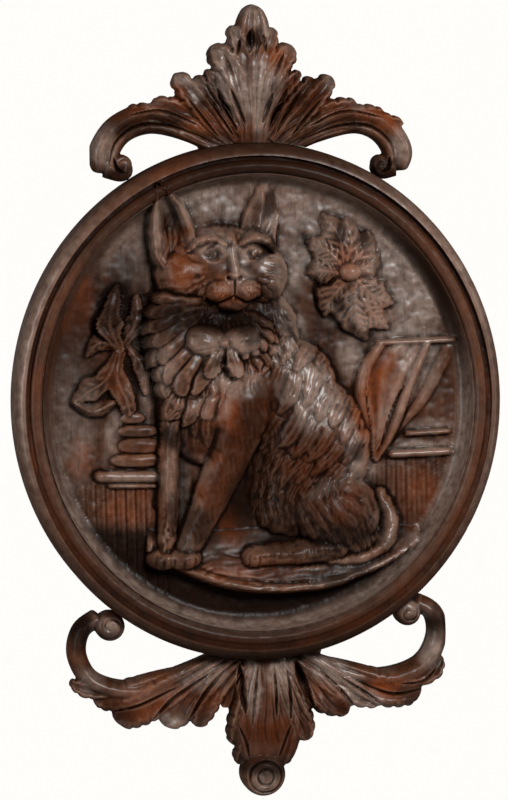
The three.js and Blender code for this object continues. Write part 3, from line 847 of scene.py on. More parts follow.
def face_fur(x, z):
    centre = FACE_FUR[0]
    here = smooth_step(13, 20, np.hypot((x - centre[0]) / 1.2, z - centre[1]))
    for at, turn, _ in EYES:
        here = here * smooth_step(0.95, 1.4, from_eye(x, z, at, turn))
    cheek = 1 - 0.75 * patch(x, z, *BARE_CHEEK)
    return FACE_FUR_HEIGHT * here * cheek * (fan_locks(x, z, *FACE_FUR) - 0.4)


print("mouth cuts:", len(MOUTH))

# %% [markdown]
# ## Putting the relief together
# The room, body, ears, ruff and head are laid over each other from back to front. Each brings its own
# cuts, so fur never runs across an eye or onto the wall. The rim has a few dents, most of them along its
# left edge, and the slight waviness of hand work comes last.

# %% The whole relief
DENTS = [  # place on the rim as an angle from the right, half angle, depth of wear in millimetres
    (163, 1.6, 1.6), (167, 1.0, 1.1), (171, 2.2, 1.5), (176, 1.2, 0.9), (158, 1.0, 0.8), (181, 1.5, 0.7),
    (28, 1.2, 0.7), (214, 1.4, 0.9), (330, 1.0, 0.7),
]
RAGGED = (0.8, 4.5, 65)  # how far the cat's outlines waver, over what length, seed
HAND_WAVES = [(0.16, 7, 61), (0.08, 3, 62)]  # height, length and seed of the waviness of hand work


def rim_dents(x, z, radius):
    angle = np.degrees(np.arctan2(z / OVAL, x)) % 360
    cut = np.zeros(x.shape)
    for at, half, depth in DENTS:
        away = np.abs((angle - at + 180) % 360 - 180) / half
        cut = cut + depth * np.clip(1 - away * away, 0, 1)
    return cut * smooth_step(145.5, 148.5, radius)


def relief(x, z):
    """Depth of the carved front at each point, in millimetres from the back."""
    radius = np.hypot(x, z / OVAL)
    depth = carve_room(x, z, radius) - rim_dents(x, z, radius)
    ragged = RAGGED[0] * noise(x, z, *RAGGED[1:])
    bx, bz = x - BODY_PLACE[0] + ragged, z - BODY_PLACE[1] + ragged
    depth = higher(depth, cat_body(bx, bz) + cat_coat(bx, bz), 0.5)
    hx, hz = x - HEAD_PLACE[0] + 0.6 * ragged, z - HEAD_PLACE[1] - 0.6 * ragged
    for ear in EARS:
        depth = higher(depth, cat_ear(hx, hz, *ear), 0.8)
    depth = higher(depth, cat_ruff(bx, bz), 0.6)
    depth = higher(depth, cat_head(hx, hz) + face_fur(hx, hz) + face_cuts(hx, hz), 0.5)
    return depth + waves(x, z, HAND_WAVES) * smooth_step(134, 120, radius)


sample = relief(np.array([0.0, -18.5]), np.array([0.0, 75.0]))
print("depth at the shoulder and the nose:", sample.round(1))

# %% [markdown]
# ## The roundel's mesh
# A square grid is drawn out into an oval disc, so that its outermost square becomes the oval at the foot
# of the cove. From there each ring of the moulding is extruded from the last one and scaled up, as by hand
# in edit mode. The grid is drawn in a little towards the face, where the cuts are finest. Every point is
# then pushed forwards to the depth that the relief gives.

# %% The roundel
GRID_HALF = 129  # squares from the middle to the edge
FACE_AT = (-18.0, 82.0)
FACE_DRAW = 0.28
FACE_REACH = 38.0
SIDE_STEPS = [(150.0, 10.0), (150.0, 1.2), (149.3, 0.0)]  # radius and depth down the rim's side


def new_piece(name):
    piece = bpy.context.object
    piece.name = name
    piece.data.name = name
    return piece


def points_of(piece):
    points = np.empty(len(piece.data.vertices) * 3)
    piece.data.vertices.foreach_get("co", points)
    return points.reshape(-1, 3)


def set_points(piece, points):
    piece.data.vertices.foreach_set("co", np.ascontiguousarray(points, float).ravel())
    piece.data.update()


def oval_disc(points):
    """Moves a square grid's points, from -1 to 1, to an oval disc that ends at the foot of the cove."""
    a, b = points[:, 0], points[:, 1]
    reach = np.maximum(np.abs(a), np.abs(b))
    safe = np.where(reach < 1e-9, 1, reach)
    wide = np.abs(a) >= np.abs(b)
    longer = np.where(reach < 1e-9, 1, np.where(wide, a, b))
    from_side = np.where(a >= 0, 0, math.pi) + math.pi / 4 * b / longer
    from_top = np.where(b >= 0, math.pi / 2, 3 * math.pi / 2) - math.pi / 4 * a / longer
    angle = np.where(wide, from_side, from_top)
    x = COVE[0] * safe * np.cos(angle) * (reach > 1e-9)
    z = COVE[0] * OVAL * safe * np.sin(angle) * (reach > 1e-9)
    dx, dz = FACE_AT[0] - x, FACE_AT[1] - z
    draw = FACE_DRAW * np.exp(-(dx * dx + dz * dz) / (2 * FACE_REACH**2)) * (1 - reach**6)
    return x + dx * draw, z + dz * draw


def select_outer_edge():
    """Goes into edit mode and selects the edge of a sheet."""
    bpy.ops.object.mode_set(mode="EDIT")
    bpy.ops.mesh.select_mode(type="EDGE")
    bpy.ops.mesh.select_all(action="SELECT")
    bpy.ops.mesh.region_to_loop()


def grow_ring(across, forwards=1, centre=(0, 0, 0)):
    bpy.ops.mesh.extrude_edges_move()
    bpy.ops.transform.resize(value=(across, forwards, across), center_override=centre)


def finish_faces():
    """Turns all faces outwards and leaves edit mode."""
    bpy.ops.mesh.select_all(action="SELECT")
    bpy.ops.mesh.normals_make_consistent(inside=False)
    bpy.ops.object.mode_set(mode="OBJECT")


def carve_roundel():
    bpy.ops.object.select_all(action="DESELECT")
    bpy.ops.mesh.primitive_grid_add(x_subdivisions=2 * GRID_HALF, y_subdivisions=2 * GRID_HALF, size=2)
    piece = new_piece("roundel_carved")
    x, z = oval_disc(points_of(piece))
    set_points(piece, np.stack([x * MM, np.zeros(len(x)), z * MM], axis=1))
    select_outer_edge()
    radius = COVE[0]
    for ring in RIM_RINGS:
        grow_ring(ring / radius)
        radius = ring
    bpy.ops.object.mode_set(mode="OBJECT")
    points = points_of(piece)
    points[:, 1] = -relief(points[:, 0] / MM, points[:, 2] / MM) * MM
    set_points(piece, points)
    bpy.ops.object.mode_set(mode="EDIT")
    for ring, depth in SIDE_STEPS:
        grow_ring(ring / radius, 0, (0, -depth * MM, 0))
        radius = ring
    bpy.ops.mesh.edge_face_add()
    finish_faces()
    return piece


roundel = carve_roundel()
print("roundel points:", len(roundel.data.vertices))

# %% [markdown]
# ## Leaves of the crest and the drop
# Both ornaments are bunches of acanthus lobes. Each lobe is a grid bent along its spine, with a gouged
# channel down its middle and a blunt round end, closed at the back. The lobes of a bunch are joined, and a
# voxel remesh melts them into one piece of wood, as if they had been carved out of it.

# %% One lobe
LOBE_ACROSS = 22  # squares across a lobe
LOBE_ROWS_PER_MM = 1.1
SPINE_POINTS = 200  # points that a lobe's spine is worked out at
THINNEST = 0.8  # least half width of a lobe, in millimetres
NOTCH_PITCH = 7.0  # millimetres between the small notches in a leaf's edge
NOTCH_DEPTH = 1.6
# Sections across a lobe: depths from one edge to the other, as shares of its thickness
CHANNEL = (0.62, 0.92, 0.99, 0.93, 0.86, 0.84, 0.86, 0.93, 0.99, 0.92, 0.62)
RIBBED = (0.62, 0.84, 0.90, 0.84, 0.86, 1.0, 0.86, 0.84, 0.90, 0.84, 0.62)
ROLL = (0.60, 0.86, 0.97, 1.0, 0.97, 0.90, 0.84, 0.90, 0.92, 0.84, 0.62)
ROUND = (0.55, 0.82, 0.95, 1.0, 0.95, 0.82, 0.55)
BROAD = (0.60, 0.82, 0.91, 0.87, 0.94, 0.97, 0.95, 0.97, 1.0, 0.97, 0.95, 0.97, 0.94, 0.87, 0.91, 0.82, 0.60)


def flowing(values, t):
    """Reads a row of values smoothly at t, from 0 to 1."""
    return smooth_curve(values, t * (len(values) - 1))


def lobe(spine, half, thick, section=CHANNEL, blunt=False):
    line = bent_line(spine, SPINE_POINTS)
    length = np.hypot(*np.diff(line, axis=0).T).sum()
    rows = max(12, int(length * LOBE_ROWS_PER_MM))
    bpy.ops.mesh.primitive_grid_add(x_subdivisions=LOBE_ACROSS, y_subdivisions=rows, size=2)
    piece = new_piece("lobe")
    flat = points_of(piece)
    across, t = flat[:, 0], (flat[:, 1] + 1) / 2
    way = np.gradient(line, axis=0)
    way /= np.hypot(way[:, 0], way[:, 1])[:, None]
    place = t * (SPINE_POINTS - 1)
    numbers = np.arange(SPINE_POINTS)
    x, z, way_x, way_z = [np.interp(place, numbers, column) for column in (*line.T, *way.T)]
    width = np.maximum(flowing(half, t), THINNEST)
    if section is CHANNEL:
        notch = 1 - np.abs(np.sin(math.pi * (t * length / NOTCH_PITCH + 0.13 * length)))
        width = width - NOTCH_DEPTH * notch**2 * smooth_step(0.25, 0.6, t)
    rounding = 0.0
    if not blunt:
        rounding = np.clip(1 - (1 - t) * length / (half[-1] * 0.9), 0, 1)
        width = width * np.sqrt(np.maximum(1 - rounding**2, 0.02))
    x = x + way_z * width * across
    z = z - way_x * width * across
    depth = flowing(thick, t) * flowing(section, (across + 1) / 2) * (1 - 0.3 * rounding**2)
    set_points(piece, np.stack([x, -depth, z], axis=1) * MM)
    select_outer_edge()
    grow_ring(1, 0)
    bpy.ops.mesh.edge_face_add()
    finish_faces()
    return piece


print("a lobe is", LOBE_ACROSS, "cells across")

# %% [markdown]
# Round knobs end the scrolls. Each is a circle whose face is extruded and drawn in, step by step, into a
# flat dome. A spiral is gouged into it later.

# %% One knob
KNOB_STEPS = [  # radius and depth as shares of the knob's own
    (1, 0.55), (0.98, 0.70), (0.93, 0.82), (0.84, 0.90), (0.7, 0.96), (0.5, 0.99), (0.28, 1.0), (0.1, 1.0),
]
KNOB_SIDES = 64


def knob(at, radius, thick):
    bpy.ops.mesh.primitive_circle_add(
        vertices=KNOB_SIDES,
        radius=radius * MM,
        fill_type="NGON",
        location=(at[0] * MM, 0, at[1] * MM),
        rotation=(math.pi / 2, 0, 0),
    )
    piece = new_piece("knob")
    bpy.ops.object.transform_apply(location=True, rotation=True, scale=True)
    centre = Vector((at[0] * MM, 0, at[1] * MM))
    bpy.ops.object.mode_set(mode="EDIT")
    bpy.ops.mesh.select_mode(type="FACE")
    bpy.ops.mesh.select_all(action="SELECT")
    current, level = 1.0, 0.0
    for share, depth in KNOB_STEPS:
        bpy.ops.mesh.extrude_region_move()
        bpy.ops.transform.translate(value=(0, -(depth - level) * thick * MM, 0))
        factor = share / current
        bpy.ops.transform.resize(value=(factor, 1, factor), center_override=centre)
        current, level = share, depth
    finish_faces()
    return piece


print("a knob has", len(KNOB_STEPS), "steps")

# %% [markdown]
# ## Crest and drop
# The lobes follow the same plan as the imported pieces. A piece is trimmed by the rim's own oval, so that it
# sits on the rim along a fine dark seam.

# %% The crest's plan
CREST_MIDDLE = [  # spine, half widths, depths, then its section and True for a blunt end, if any
    (((0, 148), (0, 190)), (36, 27, 24), (13, 13.5, 12), ROUND, True),
    (((0, 156), (0, 222)), (9, 10, 14, 20, 24, 22, 13), (17, 18, 19, 20, 20, 19.5, 18), BROAD),
    (((0, 206), (1, 242.8)), (7, 10, 10.5, 9, 4.5), (19, 20.5, 21.5, 21.5, 18), RIBBED),
]
CREST_LEFT = [
    (((-4, 206), (-12, 230)), (5, 6.5, 6, 3.6), (19, 20.5, 20.5, 16)),
    (((-6, 188), (-15, 206), (-24.5, 217.5)), (5, 8, 8.5, 8.5, 6), (18, 20, 20.5, 20.5, 16)),
    (((-8, 180), (-28, 203)), (4, 5.5, 5.2, 3.2), (16, 18, 17.5, 14)),
    (((-9, 160), (-22, 181), (-34, 199.5)), (4, 5, 5, 5, 3.5), (15, 17, 17, 17, 13)),
    (((-12, 158), (-30, 179), (-47, 201)), (5, 7, 8, 8, 5.5), (15, 17.5, 19, 19.5, 15)),
    (((-26, 170), (-44, 179), (-61, 184)), (4, 6, 6.5, 6, 4), (14, 16, 17, 17, 13)),
    (((-52, 175), (-77, 178.5)), (4, 6.5, 6.5, 4), (14, 16.5, 16.5, 13)),
    (
        ((-12, 152), (-38, 167.5), (-62, 174), (-81, 168), (-91, 154), (-89.5, 141)),
        (6, 8, 9, 9.2, 9, 9, 9, 7.5), (14, 15, 17, 18, 18, 17.5, 17, 15), ROLL[::-1],
    ),
    (((-90, 145), (-80, 142), (-79, 148.5)), (7, 6, 4), (16, 17, 15), ROUND),
]
CREST_RIGHT = [
    (((5, 206), (13.5, 228.5)), (5, 6.5, 6, 3.6), (19, 20.5, 20.5, 16)),
    (((6, 188), (16, 206), (25, 217.5)), (5, 8, 8.2, 8.2, 5.6), (18, 20, 20.5, 20, 15.5)),
    (((8, 180), (30, 201.5)), (4, 5.5, 5.4, 3.4), (16, 18, 17.5, 14)),
    (((10, 160), (22, 178), (38, 197.5)), (4, 5, 5.5, 5.5, 4), (15, 17, 17, 17, 13)),
    (((13, 158), (31, 177), (49.5, 198)), (5, 6.5, 7.5, 7.5, 5.5), (15, 17.5, 18.5, 19, 15)),
    (((28, 168), (46, 177), (65, 181)), (4, 6, 6.5, 6, 4), (14, 16, 17, 17, 13)),
    (((50, 173), (82, 174.5)), (4, 6.5, 7, 4), (14, 16.5, 16.5, 13)),
    (((68, 172), (94, 168.5)), (4, 6, 5, 2.4), (14, 16, 15.5, 12)),
    (
        ((12, 152), (38, 166), (62, 172), (80, 166), (89.5, 152.5), (87, 140)),
        (6, 8, 9, 9, 9, 9, 8.8, 7.5), (14, 15, 17, 18, 18, 17.5, 17, 15), ROLL,
    ),
    (((87, 143), (79, 140.5), (77, 146)), (7, 5.5, 3.6), (16, 17, 15), ROUND),
]
CREST_KNOBS = [((-80.5, 146), 6.2, 16), ((79, 144), 5.6, 16)]
CREST_GOUGES = [  # line, half width, depth
    (((-22, 192), (-17, 180), (-10, 166)), 2.1, 6.0),
    (((-14, 192), (-9.5, 181), (-5, 170)), 1.5, 4.0),
    (((21, 191), (16, 180), (10, 166)), 2.2, 6.0),
    (((12, 189), (8.5, 180), (5.5, 171)), 1.8, 5.0),
    (((-30, 190), (-22, 178), (-13, 164)), 1.5, 3.6),
    (((30, 190), (22, 178), (14, 164)), 1.5, 3.6),
    (((-40, 186), (-31, 174), (-22, 163)), 1.4, 3.4),
    (((42, 185), (32, 173), (23, 162)), 1.4, 3.4),
    (((-1, 228), (-2.5, 214)), 3.2, 6.0),
    (((6, 225), (8, 214)), 1.6, 3.6),
    (((-8, 222), (-10, 212)), 1.4, 3.0),
    (((-18, 213), (-12, 199)), 1.5, 2.4),
    (((19, 213), (13, 199)), 1.5, 2.4),
    (((-30, 162), (-52, 170), (-72, 170), (-85, 160), (-89, 146)), 1.2, 2.6),
    (((-34, 170), (-56, 179), (-76, 177)), 1.1, 2.4),
    (((30, 160), (52, 168), (71, 168), (84, 158), (87, 146)), 1.2, 2.6),
    (((34, 168), (56, 177), (80, 173)), 1.1, 2.4),
    (((-86, 151), (-84, 144), (-79, 141)), 1.6, 3.8),
    (((84, 149), (83, 142), (78, 139)), 1.6, 3.8),
]
print("crest lobes:", len(CREST_MIDDLE) + len(CREST_LEFT) + len(CREST_RIGHT))

# %% The drop's plan
DROP_MIDDLE = [
    (((4, -148), (4, -190)), (38, 32, 26), (14, 13.5, 12), ROUND, True),
    (((7, -150), (6, -190), (3.5, -230)), (14, 18, 21, 22, 19, 13), (17, 19, 20, 21, 22, 20), BROAD),
    (((-4, -176), (-15.5, -213)), (6, 8.5, 8, 5), (17, 19, 19, 15)),
    (((15, -176), (31, -211)), (7, 9.5, 9.5, 5), (17, 19, 19, 15)),
    (((-4, -200), (-13, -225)), (5, 6, 5.5, 3.6), (17, 18, 18, 14)),
    (((9, -200), (18, -225.5)), (5, 6, 5.8, 3.8), (17, 18, 18, 14)),
]
DROP_LEFT = [
    (((-8, -157), (-28, -178), (-38.5, -201)), (6, 8, 9, 8.5, 5), (16, 17.5, 18, 18, 14)),
    (((-14, -157), (-39, -178), (-59, -199.5)), (6, 9, 11, 11.5, 8.5), (16, 17.5, 18, 17, 14)),
    (((-24, -160), (-60, -180), (-89, -195.5)), (6, 9, 12, 12.5, 8.5), (15.5, 17, 18, 17, 13)),
    (((-50, -169), (-80, -180), (-102, -182)), (5, 8, 9.5, 9, 6), (14, 16, 16, 13)),
    (((-86, -177), (-106, -176), (-116, -171.5)), (4, 6, 5, 2.4), (13, 15, 14, 11)),
    (
        ((-14, -153), (-44, -167), (-76, -177.5), (-101, -172), (-111.5, -156), (-109, -140), (-97, -131)),
        (4, 5, 5.5, 6, 6, 6, 5.8, 5.5, 5.5), (14, 16, 17, 17.5, 17, 16, 16, 16, 15), ROUND,
    ),
]
DROP_RIGHT = [
    (((16, -159), (35, -178), (56, -195)), (6, 9, 11.5, 10.5, 4), (16, 17.5, 18, 18, 14)),
    (((26, -159), (49, -176), (75, -190)), (6, 9, 10, 8.5, 3.5), (16, 17.5, 18, 17, 14)),
    (((44, -165), (74, -179), (102, -181)), (5, 9, 11.5, 11.5, 9), (15, 17, 18, 17, 14)),
    (((86, -173), (107, -171), (115.3, -161.5)), (5, 7, 6, 2.6), (13, 15, 14, 11)),
    (
        ((18, -155), (46, -166), (76, -174), (101, -167), (111.5, -150), (109.5, -134), (97, -126)),
        (4, 5, 5.5, 6.5, 6.5, 6.3, 6.2, 5.8, 5.5), (14, 16, 17, 17.5, 17, 16, 16, 16, 15), ROUND,
    ),
]
DROP_KNOBS = [((-91.5, -137), 9.2, 18), ((93, -133), 8.2, 18), ((2, -230.5), 13.6, 25)]
DROP_GOUGES = [
    (((-12, -163), (-11, -176), (-9, -192)), 2.8, 7.0),
    (((23, -161), (27, -174), (34, -192)), 3.2, 7.5),
    (((-1, -164), (-3, -182), (-5, -200)), 1.2, 2.4),
    (((9, -164), (10, -180), (10, -196)), 1.2, 2.4),
    (((17, -166), (19, -182), (19, -198)), 1.2, 2.2),
    (((-13, -200), (-9, -210), (-7, -220)), 1.2, 2.4),
    (((19, -200), (15, -210), (11, -220)), 1.2, 2.4),
    (((-22, -166), (-34, -180), (-44, -196)), 1.7, 4.0),
    (((-32, -168), (-54, -183), (-67, -196)), 1.7, 3.8),
    (((-50, -175), (-74, -186), (-93, -190)), 1.3, 2.8),
    (((38, -168), (51, -181), (60, -191)), 1.6, 3.8),
    (((50, -171), (66, -182), (76, -189)), 1.5, 3.4),
    (((62, -175), (82, -183), (102, -181)), 1.3, 2.6),
    (((88, -177), (102, -176), (111, -168)), 1.2, 2.4),
]
FLUTES = {  # where they spread from, nearest and furthest reach, degrees from one to the next, depth
    "crest_carved": ((0, 146), 16, 78, 5.2, 1.1),
    "drop_carved": ((3, -142), 20, 80, 5.0, 1.1),
}
VOLUTES = {  # middle, radius, spacing and depth of its grooves, which way they wind; 0 for plain rings
    "crest_carved": [((-80.5, 146), 6.4, 5.0, 0.7, -1), ((79, 144), 6.0, 5.0, 0.7, 1)],
    "drop_carved": [
        ((-91.5, -137), 9, 6.0, 1.1, -1), ((93, -133), 8.4, 5.6, 1.1, 1), ((2.5, -231.5), 12.5, 4.8, 1.8, 0),
    ],
}
GLUE_GAP = 0.3
print("drop lobes:", len(DROP_MIDDLE) + len(DROP_LEFT) + len(DROP_RIGHT))

# %% Melting the lobes into one piece
VOXEL = 0.00066  # metres
PLUG_SIDES = 360
FLUTE_SHARPNESS = 4.2  # how narrow a flute is in its pitch
VOLUTE_HALF_WIDTH = 1.3  # millimetres


def apply_modifier(piece, kind, **settings):
    bpy.context.view_layer.objects.active = piece
    modifier = piece.modifiers.new(kind.lower(), kind)
    for key, value in settings.items():
        setattr(modifier, key, value)
    bpy.ops.object.modifier_apply(modifier=modifier.name)


def normals_of(piece):
    normals = np.empty(len(piece.data.vertices) * 3)
    piece.data.vertex_normals.foreach_get("vector", normals)
    return normals.reshape(-1, 3)


def winding(x, z, at):
    """How far each point is from a point, and at what angle it stands there."""
    dx, dz = x - at[0], z - at[1]
    return np.hypot(dx, dz), np.arctan2(dz, dx)


def grooves(phase, sharpness):
    """1 along the lines where the phase is whole, falling to 0 beside them."""
    return np.clip(1 - np.abs(phase - np.round(phase)) * sharpness, 0, 1)


def gouge(piece, gouges):
    """Cuts tapering slots, flutes and the knobs' spirals where an ornament faces forwards."""
    points = points_of(piece)
    x, z = points[:, 0] / MM, points[:, 2] / MM
    facing = np.clip(-normals_of(piece)[:, 1] * 1.6 - 0.2, 0, 1) * np.clip(-points[:, 1] / MM - 4, 0, 1)
    cut = np.zeros(len(x))
    for line, half, depth in gouges:
        share, side = near_line(x, z, line)
        taper = np.sqrt(np.sin(np.pi * np.clip(share, 0.02, 0.98)))
        cut = np.maximum(cut, depth * taper * np.clip(1 - (side / (half * taper)) ** 2, 0, 1))
    root, near, far, pitch, depth = FLUTES[piece.name]
    reach, angle = winding(x, z, root)
    flutes = grooves(np.degrees(angle) / pitch + 0.5 * noise(x, z, 14, 66), FLUTE_SHARPNESS)
    flutes = flutes * (0.6 + 0.4 * noise(x, z, 9, 67))
    cut = cut + depth * flutes * smooth_step(near, near + 12, reach) * smooth_step(far, far - 24, reach)
    for at, radius, pitch, depth, way in VOLUTES[piece.name]:
        reach, angle = winding(x, z, at)
        spiral = grooves(reach / pitch - way * angle / (2 * math.pi), pitch / VOLUTE_HALF_WIDTH)
        inside = smooth_step(radius, radius - 1.5, reach) * smooth_step(0.8, 2, reach)
        cut = np.maximum(cut, depth * spiral * inside)
    points[:, 1] += cut * facing * MM
    set_points(piece, points)


def rim_plug():
    bpy.ops.object.select_all(action="DESELECT")
    lying = (math.pi / 2, 0, 0)
    bpy.ops.mesh.primitive_cylinder_add(vertices=PLUG_SIDES, radius=1, depth=0.2, rotation=lying)
    plug = new_piece("plug")
    plug.scale = ((RIM_HALF_WIDTH + GLUE_GAP) * MM, (RIM_HALF_HEIGHT + GLUE_GAP) * MM, 1)
    bpy.ops.object.transform_apply(location=True, rotation=True, scale=True)
    return plug


def ornament(name, plans, knobs, gouges):
    bpy.ops.object.select_all(action="DESELECT")
    parts = [lobe(*plan) for plan in plans] + [knob(*plan) for plan in knobs]
    bpy.ops.object.select_all(action="DESELECT")
    for part in parts:
        part.select_set(True)
    bpy.context.view_layer.objects.active = parts[0]
    bpy.ops.object.join()
    piece = new_piece(name)
    apply_modifier(piece, "REMESH", mode="VOXEL", voxel_size=VOXEL)
    apply_modifier(piece, "SMOOTH", factor=0.5, iterations=2)
    gouge(piece, gouges)
    plug = rim_plug()
    apply_modifier(piece, "BOOLEAN", object=plug, operation="DIFFERENCE", solver="EXACT")
    bpy.data.objects.remove(plug)
    return piece


crest = ornament("crest_carved", CREST_MIDDLE + CREST_LEFT + CREST_RIGHT, CREST_KNOBS, CREST_GOUGES)
drop = ornament("drop_carved", DROP_MIDDLE + DROP_LEFT + DROP_RIGHT, DROP_KNOBS, DROP_GOUGES)
print("crest and drop points:", len(crest.data.vertices), len(drop.data.vertices))

# %% [markdown]
# ## Wear, dirt, colour and painted light
# Hands polish the high edges of a carving, and old wax and dust fill its hollows. Each point of a mesh is
# compared with a smoothed copy of its surroundings: where it stands out it is an edge, where it lies back
# it is a hollow, and the hollows are darkened as old wax and also as painted shade. The photo also shows
# where the wood has stayed red, where it is pale and where it is black, so a few soft patches of each are
# laid on: the pale ones are dust and also painted highlights and sheen, the black ones are old wax and
# also painted shade.

# %% Edges and hollows
NEAR_STEPS = 3
FAR_STEPS = 14
WIDE_STEPS = 260
EDGE_HEIGHT = 0.10  # millimetres that an edge stands out over its near surroundings, at full wear
HOLLOW_DEPTH = 0.55  # millimetres that a hollow lies back from its far surroundings, at full darkening by old wax and painted shade
WIDE_DEPTH = 7.0  # the same for its wide surroundings, where the darkening is painted shade beside tall forms
FINISH_WAVES = [(0.18, 6, 71), (0.1, 2.6, 72)]  # height, length and seed


def smoothed(points, edges, steps):
    count = np.bincount(edges.ravel(), minlength=len(points))[:, None]
    current = points.copy()
    for _ in range(steps):
        total = np.zeros_like(current)
        for k in range(3):
            total[:, k] = np.bincount(edges[:, 0], current[edges[:, 1], k], len(points))
            total[:, k] += np.bincount(edges[:, 1], current[edges[:, 0], k], len(points))
        current = 0.5 * current + 0.5 * total / np.maximum(count, 1)
    return current


def add_attribute(piece, name, values):
    attribute = piece.data.attributes.new(name, "FLOAT", "POINT")
    attribute.data.foreach_set("value", np.clip(values, 0, 1).astype(np.float32))


def mark_wear_and_shade(piece):
    mesh = piece.data
    points = points_of(piece) / MM
    edges = np.empty(len(mesh.edges) * 2, np.int64)
    mesh.edges.foreach_get("vertices", edges)
    edges = edges.reshape(-1, 2)
    normals = normals_of(piece)
    lifts = []
    current, done = points, 0
    for steps in (NEAR_STEPS, FAR_STEPS, WIDE_STEPS):
        current = smoothed(current, edges, steps - done)
        done = steps
        lifts.append(((current - points) * normals).sum(axis=1))
    radius = np.hypot(points[:, 0], points[:, 2] / OVAL)
    on_rim = smooth_step(COVE[0] - 5, COVE[0] + 1, radius) * smooth_step(153, 151, radius)
    # The edge mark is real wear; the hollow mark is old wax and painted shade in the recesses, and the deep
    # mark is painted shade beside tall forms.
    add_attribute(piece, "edge", -lifts[0] / EDGE_HEIGHT * (1 - 0.8 * on_rim))
    add_attribute(piece, "hollow", lifts[1] / HOLLOW_DEPTH * (1 - 0.85 * on_rim))
    add_attribute(piece, "deep", lifts[2] / WIDE_DEPTH * (1 - 0.85 * on_rim))


def hand_finish(piece):
    """The slight waviness and small nicks of hand work, on the front of a piece."""
    points = points_of(piece)
    x, z = points[:, 0] / MM, points[:, 2] / MM
    front = np.clip(-points[:, 1] / MM - 1.0, 0, 1)
    points[:, 1] -= front * waves(x, z, FINISH_WAVES) * MM
    low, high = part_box(piece.name.replace("_carved", ""))
    set_points(piece, np.clip(points, np.array(low), np.array(high)))


for piece in (roundel, crest, drop):
    hand_finish(piece)
    mark_wear_and_shade(piece)
print("wear marked on", [piece.name for piece in (roundel, crest, drop)])
